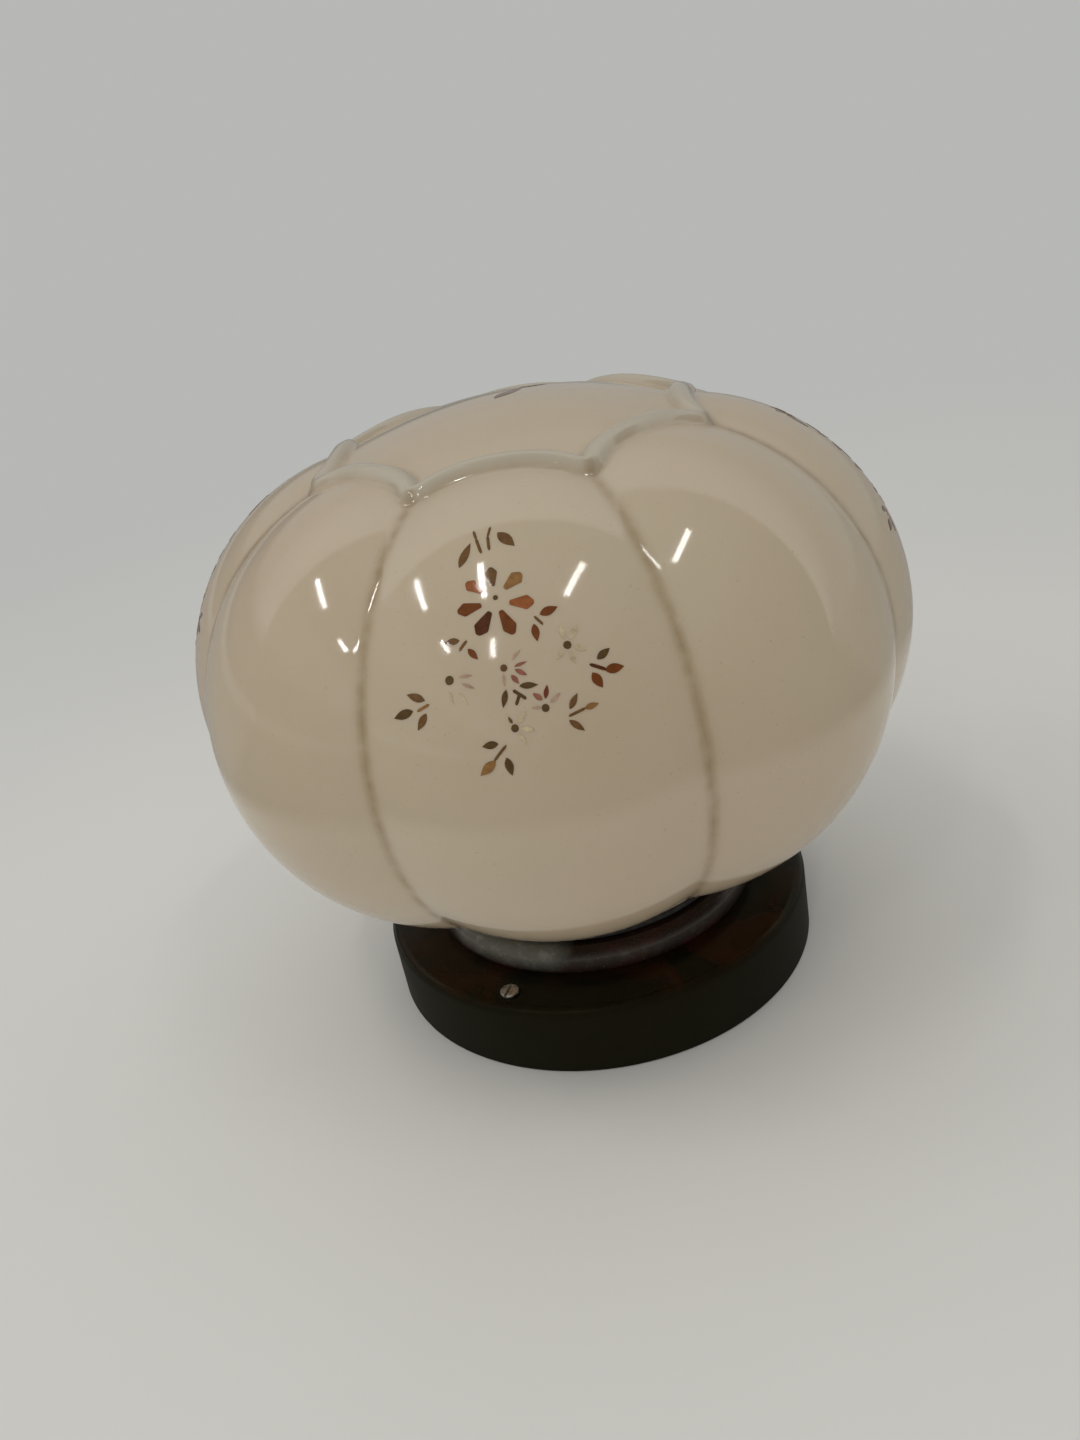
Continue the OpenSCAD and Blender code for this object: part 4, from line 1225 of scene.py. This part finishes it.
@dataclass
class BaseMoulding:
    """The round base, its threaded collar and the gasket on it."""

    base_r: float = 88.0
    base_h: float = 28.5
    wall: float = 4.0
    plate: float = 3.5
    rim: float = 4.0
    hatch_r: float = 60.45
    collar_r: float = 66.5
    collar_top: float = 38.0
    shoulder: float = 6.0
    bore_r: float = 54.4
    skirt_r: float = 60.15
    gasket_r: float = 55.0
    # Side where the collar's dust and painted sheen are thickest, in degrees.
    dust_and_sheen_side: float = -123.0
    thread: Thread = Thread(start=25.3, turns=9.0, height=1.5, foot=4.4, crest=2.6)

    def base(self) -> Piece:
        """Shapes the base with its rounded rim, a soft foot edge and a flat top.

        Returns:
            The base.
        """
        r, h, inner, under = self.base_r, self.base_h, self.base_r - self.wall, self.base_h - self.plate
        outline = rounded([(inner, 0, 0.5), (r, 0, 0.8), (r, h, self.rim), (self.hatch_r, h, 0.4),
                           (self.hatch_r, under, 0.4), (inner, under, 1.2)], 8)

        def rubbed(angle: np.ndarray, x: np.ndarray, z: np.ndarray) -> np.ndarray:
            """Gives the rubbed marks along the rim and the foot."""
            rim = np.where(x > r - 3.6, 0.3 * ramp(np.abs(z - h + 1.6), 2.4, 0), 0)
            return np.maximum(rim, ramp(z, 1, 0))

        return lathe("base_moulding", outline, 256, rubbed)

    def collar(self) -> Piece:
        """Shapes the collar with its rounded shoulder and the groove that takes the glass's thread.

        Returns:
            The collar.
        """
        low, high, bore = self.base_h - self.plate, self.collar_top, self.bore_r
        outline = rounded([(self.skirt_r, low, 0.3), (self.skirt_r, self.base_h, 0),
                           (self.collar_r, self.base_h, 0.4), (self.collar_r, high, self.shoulder),
                           (bore, high, 0.5)], 10)
        outline += [(bore, z) for z in np.arange(high - 0.9, low + 0.5, -0.4)]
        outline += [(bore, low + 0.3), (bore + 0.3, low)]

        def groove(angle: np.ndarray, r: np.ndarray, z: np.ndarray) -> np.ndarray:
            """Gives the depth of the inner thread."""
            return np.where(np.abs(r - bore) < 0.01, self.thread.rise(angle, z), 0)

        def dust_and_sheen(angle: np.ndarray, x: np.ndarray, z: np.ndarray) -> np.ndarray:
            """Gives the dust and painted sheen on the shoulder: a painted highlight band all round, and dust
            with painted sheen thickest on one side.

            Args:
                angle: angle round the axis.
                x: radius.
                z: height.

            Returns:
                The dust and painted sheen, from 0 to 1.
            """
            foot, brow = self.base_h + 0.5, self.collar_top - 1.6
            # Dust with painted sheen on the side that faces the light.
            thick = ramp(np.cos(angle - math.radians(self.dust_and_sheen_side)), 0.89, 0.95) * (z > foot + 0.2)
            # Painted highlight: a band round the shoulder where it catches the light.
            outer = ramp(z, brow, brow - 1.6) * ramp(z, foot, foot + 1.5)
            return np.where(x > bore + 1.6, np.maximum(0.3 * outer, 0.95 * thick), 0)

        return lathe("threaded_collar", outline, 240, dust_and_sheen, groove)

    def gasket(self) -> Piece:
        """Shapes the soft ring under the glass.

        Returns:
            The gasket.
        """
        low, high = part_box("shade_gasket")
        outer, z0, z1 = high.x / MM, low.z / MM, high.z / MM
        corners = [(self.gasket_r, z0, 0.5), (outer, z0, 0.9), (outer, z1, 0.9), (self.gasket_r, z1, 0.5)]
        return lathe("gasket_ring", rounded(corners, 4), 160)

    def build(self, moulding: Material, collar: Material, rubber: Material) -> None:
        """Makes and settles the three rings.

        Args:
            moulding: the base's finish.
            collar: the collar's finish.
            rubber: the gasket's finish.
        """
        settle(self.base().item(sharp=60), Body.FITTING, moulding, ["base_body"])
        settle(self.collar().item(sharp=60), Body.FITTING, collar, ["collar_ring"])
        settle(self.gasket().item(), Body.SEAL, rubber, ["shade_gasket"])


@dataclass
class CoverScrews:
    """The two slotted screws that hold the base on its strap."""

    copies: int = 2
    ring_r: float = 79.5
    first: float = 66.0
    head_r: float = 3.65
    head_h: float = 1.9
    shank_r: float = 1.95
    tip: float = 0.6
    seat: float = 28.5
    slot_w: float = 1.1
    slot_h: float = 1.0

    @property
    def top(self) -> float:
        """Height of the head's top."""
        return self.seat + self.head_h

    def screw(self) -> Piece:
        """Shapes one screw, out on the ring, without its slot.

        Returns:
            The screw.
        """
        outline = rounded([(0, self.tip, 0), (self.shank_r, self.tip, 0.4), (self.shank_r, self.seat, 0),
                           (self.head_r, self.seat, 0.2), (self.head_r, self.top - 0.45, 0.7),
                           (0, self.top + 0.12, 0)], 5)
        piece = lathe("cover_screw", outline, 48)
        piece.points = [(x + self.ring_r, y, z) for x, y, z in piece.points]
        return piece

    def cutter(self) -> Piece:
        """Shapes the bar that cuts the slot.

        Returns:
            The bar, longer and higher than the slot.
        """
        low, high, half, reach = self.top - self.slot_h, self.top + 2, self.slot_w / 2, 5
        section = np.array([(0, -half, low), (0, half, low), (0, half, high), (0, -half, high)])
        ends = np.repeat(section.mean(0)[None], len(section), 0)
        net = np.stack([ends, section, section, ends])
        net[..., 0] = self.ring_r + np.array([-reach, -reach, reach, reach])[:, None]
        return Piece("slot_bar").grid(net, closed_columns=True)

    def build(self, finish: Material) -> None:
        """Cuts the slot, repeats the screw and settles the pair.

        Args:
            finish: the screws' material.
        """
        screw, bar = self.screw().item(), self.cutter().item()
        cut = screw.modifiers.new("slot", "BOOLEAN")
        cut.object, cut.operation, cut.solver = bar, "DIFFERENCE", "EXACT"
        whole = ring("slotted_cover_screws", [screw], self.copies, self.first, finish, sharp=40)
        bpy.data.objects.remove(bar)
        settle(whole, Body.FITTING, finish, ["cover_screws"])


@dataclass
class CarriedParts:
    """CAD pieces whose shape is right: each gets its finish, and faces that nearly line up blend."""

    crisp: float = 32.0

    def blend(self) -> bpy.types.NodeTree:
        """Builds a tree that welds loose triangles and shades them smooth but for crisp edges.

        Returns:
            The tree.
        """
        g = ShapeTree("blended_faces", Geometry="Geometry")
        bare = g.add("GeometryNodeRemoveAttribute", g.entry["Geometry"], Name="custom_normal")
        weld = g.add("GeometryNodeMergeByDistance", bare, Distance=SEAM)
        soft = g.add("GeometryNodeSetShadeSmooth", weld, domain="FACE", Shade_Smooth=True)
        bend = g.add("GeometryNodeInputMeshEdgeAngle").outputs[0]
        crisp = g.math("GREATER_THAN", bend, math.radians(self.crisp))
        edges = g.add("GeometryNodeSetShadeSmooth", soft, crisp, domain="EDGE", Shade_Smooth=False)
        g.add("NodeGroupOutput", edges)
        return g.tree

    def build(self, finishes: Sequence[tuple[Material, str]]) -> None:
        """Dresses the pieces.

        Args:
            finishes: each finish with the names of its CAD nodes.
        """
        tree = self.blend()
        for finish, nodes in finishes:
            for node in nodes.split():
                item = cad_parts[node]
                item.data.materials.clear()
                item.data.materials.append(finish)
                item.modifiers.new("smooth", "NODES").node_group = tree
                LOG.info("%s: %s", node, finish.name)


@dataclass
class Studio:
    """Camera, floor, strip lights and surroundings, with the lights' sizes in metres.

    Mirrored, room, left, right, behind and corner show only in reflections; even is what lights dull faces.
    """

    eye: Triple = (36.86, -411.20, 297.20)
    forward: Triple = (-0.10169, 0.90013, -0.42359)
    upward: Triple = (0.14707, 0.43472, 0.88848)
    focal_px: float = 1141.0
    long_px: float = 1440.0
    floor_z: float = -0.15
    backdrop: Colour = (0.475, 0.48, 0.465)
    pale: Tones = ((0.645, 0.64, 0.61), (0.675, 0.67, 0.64))
    bounce: Colour = (0.90, 0.885, 0.85)
    mirrored: Tones = ((0.16, 0.155, 0.15), (0.36, 0.355, 0.34))
    room: Colour = (0.17, 0.172, 0.168)
    left: Colour = (0.31, 0.31, 0.295)
    right: Colour = (0.11, 0.08, 0.07)
    behind: Tones = ((0.80, 0.81, 0.80), (0.36, 0.365, 0.36))
    corner: Colour = (0.15, 0.152, 0.148)
    even: Tones = ((0.82, 0.82, 0.81), (0.60, 0.595, 0.585))
    ceiling: float = 1.5
    aim: float = 0.14
    glass_z: float = 0.19
    tube_gap: float = 0.017
    tube_width: float = 0.012
    tube_colour: Colour = (1.0, 0.985, 0.955)

    def stand(self, item: Item, place: Vector, x: Vector, back: Vector) -> None:
        """Puts a camera or light in its place.

        Args:
            item: the object.
            place: its place in metres.
            x: the direction of its own X.
            back: the direction of its own Z, away from what it looks at.
        """
        item.matrix_world = Matrix.Translation(place) @ Matrix((x, back.cross(x), back)).transposed().to_4x4()
        bpy.context.scene.collection.objects.link(item)

    def camera(self) -> None:
        """Sets the camera where the photograph was taken from."""
        data = bpy.data.cameras.new("camera")
        data.sensor_width = 36.0
        data.lens = self.focal_px * data.sensor_width / self.long_px
        data.clip_start, data.clip_end = 0.01, 100.0
        item = bpy.data.objects.new("camera", data)
        back = -Vector(self.forward).normalized()
        self.stand(item, Vector(self.eye) * MM, Vector(self.upward).cross(back).normalized(), back)
        bpy.context.scene.camera = item

    def floor(self) -> None:
        """Lays a plain pale floor that blends into the backdrop."""
        angle = np.linspace(0, FULL_TURN, 96, endpoint=False)
        radii = np.array([0.0, 300.0, 900.0, 3000.0, 30000.0])[:, None]
        item = Piece("floor").grid(around(radii, angle, self.floor_z), closed_columns=True).item()
        s = Surface("pale_floor", Roughness=0.55, Specular_IOR_Level=0.25)
        path = s.add("ShaderNodeLightPath").outputs
        span = s.add("ShaderNodeVectorMath", s.place, operation="LENGTH").outputs["Value"]
        pale = s.mix(s.spread(s.noise(3.0, 4.0), 0.3, 0.7), *self.pale)
        pale = s.mix(path["Is Diffuse Ray"], pale, self.bounce)
        mirrored = s.mix(s.spread(s.split(s.place)["Y"], 0.0, 0.12), *self.mirrored)
        away = s.math("MULTIPLY", path["Is Glossy Ray"], s.spread(span, 0.30, 0.38))
        s.put(s.shader.inputs["Base Color"], s.mix(away, pale, mirrored))
        far = s.math("MULTIPLY", path["Is Camera Ray"], s.spread(span, 0.25, 1.1))
        glow = s.add("ShaderNodeEmission", self.backdrop)
        s.put(s.output.inputs[0], s.add("ShaderNodeMixShader", far, s.shader, glow))
        item.data.materials.append(s.material)

    def tube(self, name: str, start: Vector, end: Vector, power: float) -> None:
        """Hangs one tube of light.

        Args:
            name: its name.
            start: one end, right and back of the lamp.
            end: the other end.
            power: its power in watts.
        """
        data = bpy.data.lights.new(name, "AREA")
        data.shape = "RECTANGLE"
        along = (end - start).to_3d()
        data.size, data.size_y, data.energy = along.length, self.tube_width, power
        data.color = self.tube_colour
        middle = Vector((*(start + end) / 2, self.ceiling))
        back = (middle - Vector((0, 0, self.aim))).normalized()
        level = (along - back * along.dot(back)).normalized()
        self.stand(bpy.data.objects.new(name, data), middle, level, back)

    def lamps(self) -> None:
        """Hangs pairs of tubes, given by their slopes as seen from the glass, whose streaks show on it."""
        for name, start, end, power in (
            ("strip_left", (-0.81, 0.08), (-0.82, -0.27), 1.5),
            ("strip_middle", (-0.26, -0.105), (-0.28, -0.415), 1.5),
            ("strip_right", (0.46, -0.16), (0.355, -0.495), 1.3),
            ("strip_near", (-0.315, -0.90), (-0.365, -1.10), 1.0),
            ("strip_far_left", (-0.84, -0.70), (-0.84, -0.87), 0.8),
        ):
            ends = [Vector(slope) * (self.ceiling - self.glass_z) for slope in (start, end)]
            aside = (ends[1] - ends[0]).orthogonal().normalized() * self.tube_gap
            for letter, shift in (("a", aside), ("b", -aside)):
                self.tube(f"{name}_{letter}", ends[0] + shift, ends[1] + shift, power / 2)

    def world(self) -> None:
        """Gives the surroundings: bright behind the lamp, dimmer above and in front."""
        world = bpy.data.worlds.new("room")
        bpy.context.scene.world = world
        world.use_nodes = True
        g = Graph(world.node_tree)
        x, y, z = g.split(g.add("ShaderNodeTexCoord").outputs["Generated"])
        up = g.math("MAXIMUM", z, 0.02)
        across, deep = g.math("DIVIDE", x, up), g.math("DIVIDE", y, up)
        room = g.mix(g.spread(across, -1.1, -0.95, 1.0, 0.0), self.room, self.left)
        room = g.mix(g.spread(across, 0.9, 1.0), room, self.right)
        behind = g.mix(g.spread(deep, 0.4, 1.3), *self.behind)
        room = g.mix(g.spread(deep, 0.29, 0.34), room, behind)
        corner = g.math("MULTIPLY", g.spread(across, -2.6, -1.9, 1.0, 0.0), g.spread(across, -16.0, -10.0))
        room = g.mix(corner, room, self.corner)
        even = g.mix(g.spread(x, -1.0, 1.0), *self.even)
        path = g.add("ShaderNodeLightPath").outputs
        seen = g.mix(path["Is Camera Ray"], g.mix(path["Is Glossy Ray"], even, room), self.backdrop)
        g.add("ShaderNodeOutputWorld", g.add("ShaderNodeBackground", seen))

    def build(self) -> None:
        """Sets up the whole stage."""
        self.camera()
        self.floor()
        self.lamps()
        self.world()
        bpy.context.scene.view_settings.view_transform = "Standard"


def main() -> None:
    """Builds the lamp piece by piece."""
    logging.basicConfig(level=logging.INFO, format="%(name)s: %(message)s")
    Studio().build()
    shade = GlassShade()
    shade.build(OpalGlass().material())
    FlowerSpray().build(Enamel().material(), shade)
    # The collar's reddish flow is painted reflection of the glass; its grey edge mark is dust with painted
    # sheen and a painted highlight band.
    collar = Moulding("collar", dark=(0.0105, 0.0052, 0.0036), flow_and_reflection=(0.030, 0.0095, 0.0080),
                      worn_and_sheen=(0.205, 0.205, 0.172), gloss=(0.12, 0.3), shine=0.4, tint=(1.0, 0.89, 0.80),
                      patchy=0.55)
    rubber = Soft("gasket", (0.016, 0.015, 0.014), (0.035, 0.033, 0.03))
    BaseMoulding().build(Moulding("base", satin=0.61).material(), collar.material(), rubber.material())
    CoverScrews().build(Metal("nickel", (0.60, 0.56, 0.50), (0.24, 0.19, 0.14), (0.2, 0.4)).material())
    sleeve = (0.35, 0.55)
    carried = (
        (Metal("zinc", (0.58, 0.58, 0.57), (0.33, 0.32, 0.30)),
         "collar_screws mounting_strap holder_bridge nipple_washer terminal_screws block_screw"),
        (Metal("brass", (0.70, 0.50, 0.21), (0.36, 0.24, 0.10)),
         "nipple nipple_nut thread_shell centre_contact side_contact holder_screws terminal_clamps"),
        (Moulding("holder", (0.006, 0.0055, 0.005), (0.012, 0.009, 0.007)), "holder_cap holder_skirt"),
        (Ceramic(), "holder_insert terminal_block"),
        (Soft("brown", (0.085, 0.036, 0.018), (0.12, 0.06, 0.035), sleeve), "live_wire"),
        (Soft("blue", (0.03, 0.075, 0.19), (0.06, 0.11, 0.22), sleeve), "neutral_wire"),
        (ClearGlass(), "bulb_glass bulb_stem"),
        (Metal("cap", (0.74, 0.73, 0.70), (0.48, 0.46, 0.42)), "bulb_cap bulb_tip"),
        (Soft("pitch", (0.012, 0.012, 0.014), (0.02, 0.02, 0.022), (0.12, 0.3)), "bulb_insulator"),
        (Metal("tungsten", (0.30, 0.30, 0.31), (0.16, 0.16, 0.17), (0.3, 0.5)), "filament filament_supports"),
    )
    CarriedParts().build([(finish.material(), nodes) for finish, nodes in carried])


if __name__ == "__main__":
    main()
